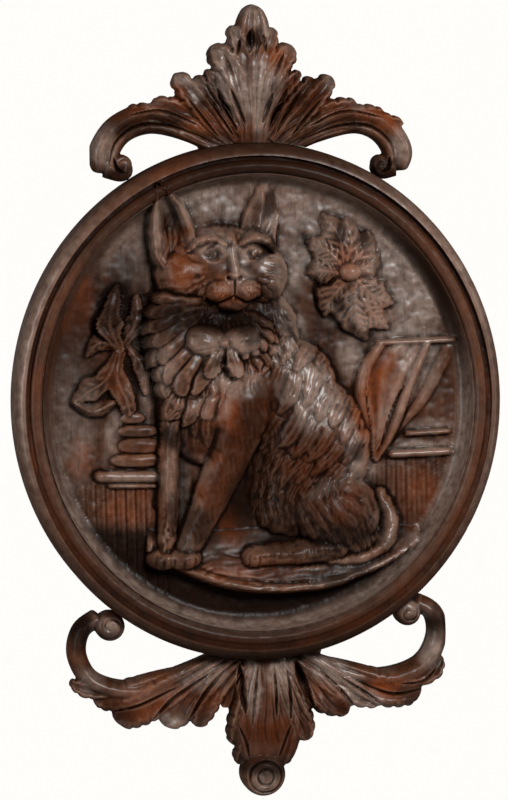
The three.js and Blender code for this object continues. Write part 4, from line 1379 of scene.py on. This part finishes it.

# %% Patches on the roundel
# Each row is a soft oval: x and z of its middle, half width, half height, turn, strength
# red is the wood's own tone; pale is dust and painted highlights and sheen on the back, chest, bow, brows,
# nose, field and floor edge; black is old wax and painted shade under the chin, between the legs, under the
# floor and in the eye sockets.
ROUNDEL_TONES = {
    "red": [
    (-18, -30, 12, 30, 25, 0.8), (30, -40, 18, 22, 0, 0.7), (92, 12, 14, 24, 0, 0.6),
    (-8, -3, 20, 26, -20, 1.0), (-26, -58, 10, 34, 25, 0.75), (-15, 67, 15, 10, 0, 0.8),
    (-45, 81, 12, 14, 0, 0.55), (72, -8, 12, 34, 0, 0.8), (88, 20, 14, 12, 0, 0.5),
    (-10, -102, 34, 8, 0, 0.7), (-76, -66, 17, 13, 0, 0.7), (100, -62, 14, 18, 0, 0.6),
    (60, 80, 12, 15, 0, 0.8), (76, 54, 10, 10, 0, 0.8), (48, -62, 19, 13, 0, 0.7),
    (44, -30, 12, 20, -30, 0.6), (-112, 70, 12, 26, 0, 0.8), (-74, -30, 14, 8, 0, 0.5),
    (4, 120, 12, 12, 0, 0.5), (-40, 104, 16, 7, 0, 0.5), (-108, -34, 9, 12, 0, 0.6),
    (22, 118, 12, 10, 0, 0.4), (-85, 22, 8, 18, 0, 0.4),
    ],
    "pale": [
    (103, -33, 14, 3, 0, 0.9), (70, 108, 16, 6, -35, 0.8), (-34, 104, 6, 14, 20, 0.4),
    (66, -42, 7, 7, 0, 0.8), (-12, 15, 14, 5, -10, 0.8), (72, 45, 5, 5, 0, 0.9), (78, 60, 5, 6, 0, 0.8),
    (60, -44, 10, 4, 0, 0.6), (78, -76, 5, 12, 0, 0.6), (-14, 14, 16, 8, -20, 0.9), (66, 52, 4, 9, 30, 1.0),
    (48, 50, 6, 5, 0, 0.7), (16, 6, 5, 9, 30, 0.9), (28, -4, 5, 9, 30, 0.9), (17, 29, 7, 8, 0, 0.9),
    (-33, -42, 6, 8, 0, 0.7), (38, -56, 8, 3, 30, 0.9), (-88, -20, 6, 16, 0, 0.7), (-64, 16, 5, 24, 0, 0.8),
    (-66, 104, 5, 12, 0, 0.8), (0, -112, 46, 3, 0, 0.9), (-30, 100, 12, 9, 0, 0.7),
    (-15, 72, 12, 4, 0, 0.4), (-22.5, 96, 5.5, 1.8, -58, 1.0), (-10.5, 91, 4, 1.8, -35, 0.9),
    (-10, 77.5, 5.5, 1.8, -32, 1.0), (20, 82, 12, 17, 0, 0.9), (5, 131, 9, 3.5, 0, 1.0),
    (12, 110, 6, 4, 0, 0.8), (22, 57, 15, 2.5, -59, 1.0), (29, 40, 11, 2.5, -55, 0.9),
    (-37, 82, 2.5, 2.5, 0, 0.9), (70, 112, 20, 8, -35, 0.8), (86, 84, 8, 20, 0, 0.7),
    (108, -18, 14, 3.5, 0, 0.7), (98, 35, 24, 4, 0, 0.8), (98, 10, 24, 4, 67, 0.9),
    (-20, 122, 38, 10, 0, 0.75), (24, 116, 12, 14, 0, 0.8), (-63, 108, 6, 14, -10, 0.7),
    (38, 92, 7, 16, 0, 0.9), (80, 102, 26, 16, -38, 0.8), (101, 40, 12, 40, 0, 0.7),
    (62, 22, 7, 14, 20, 1.0), (69, -44, 7, 9, 0, 1.0), (-45, -52, 5, 26, 0, 0.7), (-71, 40, 5, 10, 0, 0.6),
    (84, -8, 6, 16, -30, 0.8), (105, 18, 9, 16, 0, 0.7), (-111, -10, 12, 40, 0, 0.5),
    (10, 110, 7, 8, 0, 0.6), (-12, 89, 6, 7, 0, 0.8), (20, 76, 4, 20, 0, 0.6), (76, 92, 5, 5, 0, 0.8),
    (80, 46, 4, 4, 0, 0.8), (46, 56, 4, 4, 0, 0.8), (45, 108, 4, 6, 0, 0.6), (36, 6, 13, 22, 35, 1.0),
    (34, -12, 10, 10, 0, 0.8), (-18, 118, 24, 11, 0, 0.6), (84, 66, 30, 36, 0, 0.8),
    (52, 112, 22, 12, -28, 0.6), (-76, 92, 18, 18, 0, 0.55), (-31, 37, 12, 9, 0, 1.0),
    (-8, 37, 11, 8, 0, 1.0), (-14, 13, 17, 9, -20, 1.0), (-22, 96, 7, 8, -50, 0.9), (0, 102, 9, 9, 0, 0.6),
    (6, 86, 7, 5, 0, 0.6), (-9, 78, 6, 5, 0, 0.7), (-54, -40, 3.5, 30, 0, 0.4), (22, 48, 8, 22, 20, 0.7),
    (-78, -46, 20, 4, 0, 0.8), (104, -32, 20, 4.5, 0, 1.0), (-104, 2, 9, 6, 0, 0.5),
    (-56, 20, 6, 16, 0, 0.6), (-44, 120, 6, 14, -25, 0.8), (63, 56, 6, 10, 25, 0.9), (72, 80, 4, 4, 0, 0.8),
    (79, 60, 4, 5, 30, 0.7), (50, -50, 20, 4, 0, 0.5), (58, -26, 8, 20, 25, 0.6), (82, -80, 7, 12, 0, 0.6),
    (-45, -92, 6, 10, 0, 0.6), (-30, -3, 14, 8, 0, 0.5), (84, 5, 5, 34, -20, 0.5), (46, 84, 6, 6, 0, 0.5),
    (60, -103, 20, 5, 0, 0.4), (6, -93, 14, 3, 0, 0.6),
    ],
    "black": [
    (-36, 52, 15, 6, -8, 0.8), (-55, 52, 10, 9, 0, 0.5), (62, -33, 5, 5, 0, 0.5), (-62, -99, 7, 5, 0, 0.7),
    (4, 114, 6, 8, 0, 0.5), (12, 80, 4, 6, 0, 0.5), (66, 96, 6, 5, 0, 0.5), (-24, 28, 5, 4, 0, 0.8),
    (3, 115, 6, 10, 0, 0.6), (-22, -22, 8, 8, 0, 0.6), (-36, -76, 7, 12, 20, 0.7),
    (-54, -66, 4, 10, 0, 0.7), (-17, 96, 1.6, 3, -20, 0.9), (-28, 97, 1.6, 3, -20, 0.9),
    (-37, 77, 2.4, 2.4, 0, 0.9), (28, -92, 26, 6, 0, 0.6), (20, -108, 30, 4, 0, 0.6),
    (-2, 43, 9, 8, 0, 0.9), (-54, -20, 6, 7, 0, 0.9), (22, 41, 5, 1.8, -70, 0.9), (50, -70, 24, 18, 0, 0.4),
    (-12, 61, 6, 2, 0, 0.8), (61, -33, 7, 6, 0, 0.7), (-74, -23, 12, 8, 0, 0.5), (2, -8, 18, 24, -25, 0.6),
    (-16, -38, 54, 10, 66, 0.75), (-20, -96, 16, 7, 0, 0.6), (-35, 50, 34, 12, 0, 0.6),
    (14, 52, 8, 12, 20, 0.8), (-78, 78, 10, 14, 0, 0.7), (50, -68, 26, 22, 0, 0.4),
    (55, -109, 34, 5, 4, 0.8), (6, 8, 16, 10, 30, 0.5), (-54, -22, 5, 8, 0, 0.6),
    (-90, -88, 16, 10, 0, 0.3), (30, -38, 28, 24, 0, 0.4), (54, 103, 3, 6, 0, 0.9), (66, 98, 3, 5, 0, 0.9),
    (34, 97, 3, 5, 0, 0.8), (50, 57, 4, 5, 0, 0.8), (60, 46, 3, 4, 0, 0.8), (69, 40, 5, 3, 0, 0.8),
    (-20, 51, 31, 7, 0, 1.0), (-8, -58, 11, 24, -10, 1.0), (52, -84, 26, 9, 0, 0.75),
    (-82, 62, 11, 15, 0, 0.8), (30, -36, 22, 22, 0, 0.5), (-54, 56, 12, 12, 0, 0.7),
    (11, 120, 4.5, 11, 0, 0.95), (-53, 116, 6, 12, 0, 0.6), (6, 62, 10, 10, 0, 0.7),
    (-40, -24, 12, 14, 0, 0.7), (-100, 40, 26, 40, 0, 0.45), (16, -70, 16, 20, 0, 0.7),
    (-66, 30, 8, 16, 0, 0.6), (55, 60, 10, 8, -40, 0.4), (8, 95, 6, 4.5, 30, 0.95),
    (-26.5, 90.5, 4, 2.6, -12, 0.7), (1.5, 90.5, 4, 2.6, 12, 0.8), (40, 42, 14, 16, 0, 0.4),
    (-46, -66, 5, 40, 0, 0.6), (-6, -126, 60, 6, 0, 0.7),
    ],
}
PATCH_PLACE = (-1.0, 0.7)  # how far the patches are moved from where the photo shows them
print("patches on the roundel:", sum(len(rows) for rows in ROUNDEL_TONES.values()))

# %% Patches on the crest and the drop
# On the crest and the drop, red is the wood's own tone, pale is painted highlights and sheen on ridges and
# tips, and black is old wax and painted shade in the hollows and round the knobs.
CREST_TONES = {
    "pale": [
        (-14, 196, 11, 22, 20, 1.0), (4, 184, 7, 26, 0, 0.9), (0, 237, 8, 9, 0, 1.0),
        (-14, 225, 5, 6, 0, 0.8), (9, 225, 5, 8, 0, 0.7), (0, 218, 2.5, 2.5, 0, 1.0),
        (-44, 200, 9, 7, 0, 1.0), (-34, 194, 5, 8, 0, 0.8), (50, 196, 8, 8, 0, 0.6),
        (-93, 158, 7, 14, 0, 0.8), (92, 156, 7, 14, 0, 0.9), (10, 192, 8, 14, -25, 0.7),
        (66, 182, 10, 4, 0, 0.5), (-60, 186, 10, 4, 0, 0.5), (22, 216, 6, 6, 0, 0.5),
        (-22, 216, 6, 6, 0, 0.6),
    ],
    "red": [
        (-54, 186, 14, 9, -20, 0.9), (14, 212, 10, 12, 0, 0.8), (80, 174, 16, 8, -20, 0.8),
        (30, 186, 14, 10, 0, 0.5), (-30, 172, 16, 8, 0, 0.5), (0, 163, 22, 5, 0, 0.5),
        (-78, 178, 14, 6, 0, 0.4), (52, 178, 14, 8, 0, 0.4),
    ],
    "black": [
        (-80, 144, 6, 5, 0, 0.8), (79, 143, 6, 5, 0, 0.8), (-66, 172, 24, 7, 5, 0.8),
        (20, 182, 14, 12, -30, 0.5), (0, 223, 5, 5, 0, 0.6), (60, 170, 20, 6, 0, 0.6),
        (-24, 186, 8, 14, 30, 0.5), (0, 160, 34, 6, 0, 0.5), (-92, 140, 8, 7, 0, 0.7),
        (84, 140, 9, 6, 0, 0.7), (36, 188, 10, 10, 0, 0.5), (-31, 210, 5, 12, 0, 0.5),
    ],
}
DROP_TONES = {
    "pale": [
        (-4, -176, 4, 20, 0, 0.9), (13, -170, 8, 12, 0, 0.9), (-35, -170, 14, 8, 25, 0.7),
        (46, -170, 16, 8, -35, 1.0), (56, -182, 10, 6, -30, 0.8), (108, -154, 8, 12, 0, 1.0),
        (-56, -197, 9, 6, 0, 0.9), (70, -188, 8, 6, 0, 0.8), (-105, -170, 8, 8, 0, 0.5),
        (2, -234, 8, 7, 0, 0.8), (-90, -136, 6, 6, 0, 0.6), (92, -130, 6, 6, 0, 0.7),
    ],
    "red": [
        (2, -205, 16, 18, 0, 0.7), (-70, -185, 24, 12, 15, 0.7), (85, -180, 16, 8, 0, 0.8),
        (-30, -188, 12, 12, 0, 0.5), (44, -186, 14, 8, -30, 0.5),
    ],
    "black": [
        (-92, -142, 8, 5, 0, 0.8), (92, -138, 8, 4, 0, 0.7), (4, -200, 18, 14, 0, 0.4),
        (0, -212, 22, 16, 0, 0.6), (-88, -192, 10, 8, 0, 0.6), (46, -192, 14, 7, 0, 0.6),
        (98, -185, 12, 6, 0, 0.7), (0, -158, 36, 4, 0, 0.9), (112, -138, 6, 12, 0, 0.7),
        (-110, -140, 7, 14, 0, 0.8), (-36, -190, 10, 10, 0, 0.5), (2, -226, 16, 5, 0, 0.7),
    ],
}
ornament_rows = [*CREST_TONES.values(), *DROP_TONES.values()]
print("patches on the crest and drop:", sum(len(rows) for rows in ornament_rows))

# %% Laying on the tones
# Painted light on the moulding: sheen on the outer band, a lit cove and a highlight on the arris, and painted
# shade on the band, the bead and the upper right cove where they face away from the lamps. The bead is also
# darker in itself, and band red is the wood's own tone.
RIM_TONES = {  # angle from the right, half angle, strength
    "band pale": [(168, 58, 1), (36, 46, 0.8), (340, 30, 0.45)],
    "band red": [(110, 26, 1), (300, 60, 0.7)],
    "band black": [(278, 120, 1), (88, 60, 0.75)],
    "bead black": [(92, 100, 1), (262, 120, 0.85)],
    "arris pale": [(350, 50, 1.1)],
    "cove pale": [(222, 24, 0.4)],
    "cove black": [(32, 40, 0.8)],
    "lower half": [(262, 120, 1)],
    "shaded": [(168, 66, 1), (33, 42, 1)],
}
GROOVE_WAX_AND_SHADE = (142.0, 1.1)  # middle radius and width of the dark line in the groove, old wax and painted shade


def patched(x, z, rows):
    """Lays soft patches over each other, with ragged edges."""
    x = x + 2.2 * noise(x, z, 9, 81) + 1.0 * noise(x, z, 3.5, 82)
    z = z + 2.2 * noise(x, z, 9, 83) + 1.0 * noise(x, z, 3.5, 84)
    bare = np.ones(x.shape)
    for at_x, at_z, half_width, half_height, turn, strength in rows:
        bare = bare * (1 - strength * patch(x, z, (at_x, at_z), (half_width, half_height), turn, 0.45))
    return 1 - bare


def round_the_rim(angle, places):
    """The strongest tone at each angle: each is full at its place and falls to 0 either side of it."""
    away = [np.abs((angle - at + 180) % 360 - 180) / half for at, half, _ in places]
    return np.max([row[2] * smooth_step(1, 0, gap) for row, gap in zip(places, away)], axis=0)


def tone_roundel(piece):
    points = points_of(piece) / MM
    x, z = points[:, 0], points[:, 2]
    radius = np.hypot(x, z / OVAL)
    angle = np.degrees(np.arctan2(z / OVAL, x)) % 360
    rim = {name: round_the_rim(angle, places) for name, places in RIM_TONES.items()}
    inside = smooth_step(COVE[0] + 6, COVE[0] + 1, radius)
    px, pz = x - PATCH_PLACE[0], z - PATCH_PLACE[1]
    laid = {name: patched(px, pz, rows) for name, rows in ROUNDEL_TONES.items()}
    outer = smooth_step(BAND[0] - 0.6, BAND[0] + 0.4, radius)
    bead = smooth_step(ARRIS[0], ARRIS[0] + 1, radius) * (1 - outer)
    cove = smooth_step(COVE[0] - 1, COVE[0] + 1, radius) * smooth_step(ARRIS[0] + 1, ARRIS[0] - 1, radius)
    mottle = 0.5 + 0.5 * noise(angle / 2.2, radius / 2.0, 2.4, 85)

    above_floor = smooth_step(-94, -84, z + 30 * (x > 30))
    # Painted light: the band's sheen, the lit cove and the arris's highlight, which is strongest in the lower
    # half where it faces the lamp, all less where the rim is shaded. The pale patches inside are dust and
    # painted highlights and sheen.
    arris_highlight = np.maximum(0.3 + 0.9 * rim["lower half"], rim["arris pale"]) * (1 - 0.7 * rim["shaded"])
    pale = outer * rim["band pale"] * (0.8 + 0.4 * mottle)
    pale = pale + cove * (0.45 * (1 - rim["shaded"]) + rim["cove pale"])
    pale = pale + line_at(radius, ARRIS[0] - 0.6, 2.6) * arris_highlight
    add_attribute(piece, "pale", inside * laid["pale"] * above_floor + pale)

    red = (outer * rim["band red"] + 0.6 * bead) * mottle
    add_attribute(piece, "red", inside * laid["red"] + red)

    # Painted shade below the floor's front edge, in the groove, strongest in its upper half, and on the band,
    # bead and cove; the black patches inside are old wax and painted shade.
    shade_under_floor = smooth_step(-80, -92, z + 0.12 * x) * smooth_step(17, 13.5, -points[:, 1])
    groove = line_at(radius, *GROOVE_WAX_AND_SHADE) * (0.35 + 0.65 * smooth_step(-30, 30, z))
    bead_dark_and_shade = bead * np.maximum(rim["bead black"], 0.4)
    black = np.max([outer * rim["band black"], bead_dark_and_shade, cove * rim["cove black"], groove], axis=0)
    add_attribute(piece, "black", inside * np.maximum(laid["black"], shade_under_floor) + black)


def tone_ornament(piece, tones):
    points = points_of(piece) / MM
    x, z = points[:, 0], points[:, 2]
    for k, (name, rows) in enumerate(tones.items()):
        mottle = 0.3 * np.clip(noise(x, z, 12, 91 + k), 0, 1)
        add_attribute(piece, name, patched(x, z, rows) + mottle)


tone_roundel(roundel)
tone_ornament(crest, CREST_TONES)
tone_ornament(drop, DROP_TONES)
print("tones laid:", len(RIM_TONES), "round the rim")

# %% [markdown]
# ## The finish and painted light
# The wood is walnut under many coats of dark wax. Long grain runs up the boards in brown and red-brown,
# the hollows are nearly black with old wax and painted shade, the worn edges are paler and greyer, and the
# flat ground is paler and greyer with dust and painted sheen. The gloss of the wax is a clear coat that is
# stronger on the pale patches and weaker on red wood and where dirt and painted shade sit.

# %% Shader groups: grain and wear
def feed(tree, socket, value):
    """Sets a socket to a number or a colour, or links an output to it."""
    if isinstance(value, (int, float, tuple)):
        socket.default_value = value
    elif value is not None:
        tree.links.new(value, socket)


def add_node(tree, kind, inputs=None, **settings):
    node = tree.nodes.new(kind)
    for key, value in settings.items():
        setattr(node, key, value)
    for label, value in (inputs or {}).items():
        feed(tree, node.inputs[label], value)
    return node


def maths(tree, operation, a, b=None, c=None, clamp=False):
    node = add_node(tree, "ShaderNodeMath", operation=operation, use_clamp=clamp)
    for socket, value in zip(node.inputs, (a, b, c)):
        feed(tree, socket, value)
    return node.outputs[0]


def times(tree, a, b, clamp=False):
    return maths(tree, "MULTIPLY", a, b, clamp=clamp)


def mixed(tree, share, a, b):
    node = add_node(tree, "ShaderNodeMix", data_type="RGBA")
    for k, value in ((0, share), (6, a), (7, b)):
        feed(tree, node.inputs[k], value)
    return node.outputs[2]


def hills(tree, scale, size, detail, rough=0.6):
    """Noise on the piece's own coordinates, stretched by `scale`."""
    place = add_node(tree, "ShaderNodeTexCoord").outputs["Object"]
    mapping = add_node(tree, "ShaderNodeMapping", {"Vector": place, "Scale": scale})
    texture = {"Vector": mapping.outputs[0], "Scale": size, "Detail": detail, "Roughness": rough}
    return add_node(tree, "ShaderNodeTexNoise", texture).outputs["Fac"]


def ranged(tree, value, low, high):
    limits = {"Value": value, "From Min": low, "From Max": high}
    return add_node(tree, "ShaderNodeMapRange", limits, clamp=True).outputs[0]


def group_of(name, values):
    """Makes a group that puts out the values that a function works out in it."""
    group = bpy.data.node_groups.new(name, "ShaderNodeTree")
    made = values(group)
    out = group.nodes.new("NodeGroupOutput")
    for label, value in made.items():
        group.interface.new_socket(label, in_out="OUTPUT", socket_type="NodeSocketFloat")
        group.links.new(value, out.inputs[label])
    return group


def grain_values(group):
    streaks = hills(group, (1, 1, 0.12), 190, 4)
    clouds = hills(group, (1, 1, 0.6), 55, 4)
    pores = hills(group, (1, 1, 0.06), 900, 2)
    figure = maths(group, "ADD", times(group, streaks, 0.45), times(group, clouds, 0.55))
    return {"Figure": ranged(group, figure, 0.36, 0.64), "Pores": ranged(group, pores, 0.55, 0.75)}


def wear_dirt_and_light_values(group):
    """Wear, dirt, painted shade and painted sheen as marked on the mesh, broken up where they would look
    painted on.
    """
    fine = ranged(group, hills(group, (1, 1, 1), 170, 3, 0.55), 0.35, 0.65)
    broad = ranged(group, hills(group, (1, 1, 0.7), 60, 4, 0.65), 0.38, 0.58)
    values = {}
    for name in ("Edge", "Hollow", "Deep", "Red", "Pale", "Black"):
        mark = add_node(group, "ShaderNodeAttribute", attribute_name=name.lower()).outputs["Fac"]
        spots = {"Edge": fine, "Red": broad, "Pale": fine}.get(name)
        share = 1.0 if spots is None else maths(group, "MULTIPLY_ADD", spots, 0.6, 0.4)
        values[name] = times(group, mark, share, True)
    return values


GRAIN = group_of("walnut grain", grain_values)
WEAR_DIRT_AND_LIGHT = group_of("wear, dirt and painted light", wear_dirt_and_light_values)
print("shader groups:", GRAIN.name, "and", WEAR_DIRT_AND_LIGHT.name)

# %% Walnut
# The black below is the colour of old wax, of the pores and of painted shade.
BLACK_WAX_AND_SHADE = (0.0042, 0.0016, 0.0008, 1)
DARK_WALNUT = (0.016, 0.0058, 0.0026, 1)
BROWN_WALNUT = (0.064, 0.0215, 0.0085, 1)
RED_WALNUT = (0.165, 0.037, 0.0088, 1)
# The pale below is dust and painted highlights and sheen.
PALE_DUST_AND_SHEEN = (0.25, 0.182, 0.146, 1)
WORN_WALNUT = (0.19, 0.095, 0.060, 1)
# Pale lays on dust and painted highlights and sheen, and Black lays on old wax and painted shade.
LAYERS = [  # mask, its strength and its colour, from the wood up
    ("Red", 1.0, RED_WALNUT),
    ("Pale", 0.8, PALE_DUST_AND_SHEEN),
    ("Pores", 0.5, BLACK_WAX_AND_SHADE),
    ("Edge", 0.7, WORN_WALNUT),
    ("Black", 0.88, BLACK_WAX_AND_SHADE),
]
DULL = (0.40, 0.35)  # roughness of clean wood, and what dirt and painted shade add to it
GLOSS = (0.19, 0.3, 0.18)  # of dark wood, what the pale patches of dust and painted sheen add to it, and what red wood takes off it
GLOSS_STRENGTH = 1.9
COAT_ROUGHNESS = 0.34
SPECULAR = 0.02
GRAIN_BUMP = (0.4, 0.0004)  # strength, and height in metres


def walnut(name):
    material = bpy.data.materials.new(name)
    material.use_nodes = True
    tree = material.node_tree
    shader = tree.nodes["Principled BSDF"].inputs
    groups = [add_node(tree, "ShaderNodeGroup", node_tree=group) for group in (GRAIN, WEAR_DIRT_AND_LIGHT)]
    mask = {socket.name: socket for group in groups for socket in group.outputs}
    # The hollow and deep marks darken the wood as old wax in the recesses and as painted shade there and
    # beside tall forms, less where the pale patches of painted sheen lie.
    outside_sheen = maths(tree, "SUBTRACT", 1.0, times(tree, mask["Pale"], 0.9), clamp=True)
    deep = times(tree, times(tree, mask["Deep"], 0.75), outside_sheen)
    hollow = times(tree, mask["Hollow"], maths(tree, "MULTIPLY_ADD", outside_sheen, 0.64, 0.3))
    wax_and_shade = maths(tree, "MAXIMUM", hollow, deep)
    wood = mixed(tree, mask["Figure"], DARK_WALNUT, BROWN_WALNUT)
    for layer, strength, colour in LAYERS:
        wood = mixed(tree, times(tree, mask[layer], strength), wood, colour)
    # This mask is dirt and painted shade together, from the hollows and the black patches; it roughens the
    # wood and dulls its gloss.
    dirt_and_shade = maths(tree, "MAXIMUM", wax_and_shade, times(tree, mask["Black"], 0.85))
    shine = maths(tree, "MULTIPLY_ADD", mask["Pale"], GLOSS[1], GLOSS[0])
    shine = maths(tree, "SUBTRACT", shine, times(tree, mask["Red"], GLOSS[2]))
    polish = times(tree, shine, maths(tree, "SUBTRACT", 1.05, dirt_and_shade, clamp=True))
    bump = {"Strength": GRAIN_BUMP[0], "Distance": GRAIN_BUMP[1], "Height": mask["Figure"]}
    feed(tree, shader["Base Color"], mixed(tree, wax_and_shade, wood, BLACK_WAX_AND_SHADE))
    feed(tree, shader["Roughness"], maths(tree, "MULTIPLY_ADD", dirt_and_shade, DULL[1], DULL[0]))
    feed(tree, shader["Coat Weight"], times(tree, polish, GLOSS_STRENGTH, True))
    feed(tree, shader["Coat Roughness"], COAT_ROUGHNESS)
    feed(tree, shader["Specular IOR Level"], SPECULAR)
    feed(tree, shader["Normal"], add_node(tree, "ShaderNodeBump", bump).outputs["Normal"])
    return material


def dress(piece, material, node):
    piece.data.materials.clear()
    piece.data.materials.append(material)
    bpy.ops.object.select_all(action="DESELECT")
    piece.select_set(True)
    bpy.context.view_layer.objects.active = piece
    bpy.ops.object.shade_smooth_by_angle(angle=math.radians(60))
    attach(piece, "root")
    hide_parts(node)


WALNUT = walnut("waxed walnut")
dress(roundel, WALNUT, "roundel")
dress(crest, WALNUT, "crest")
dress(drop, WALNUT, "drop")
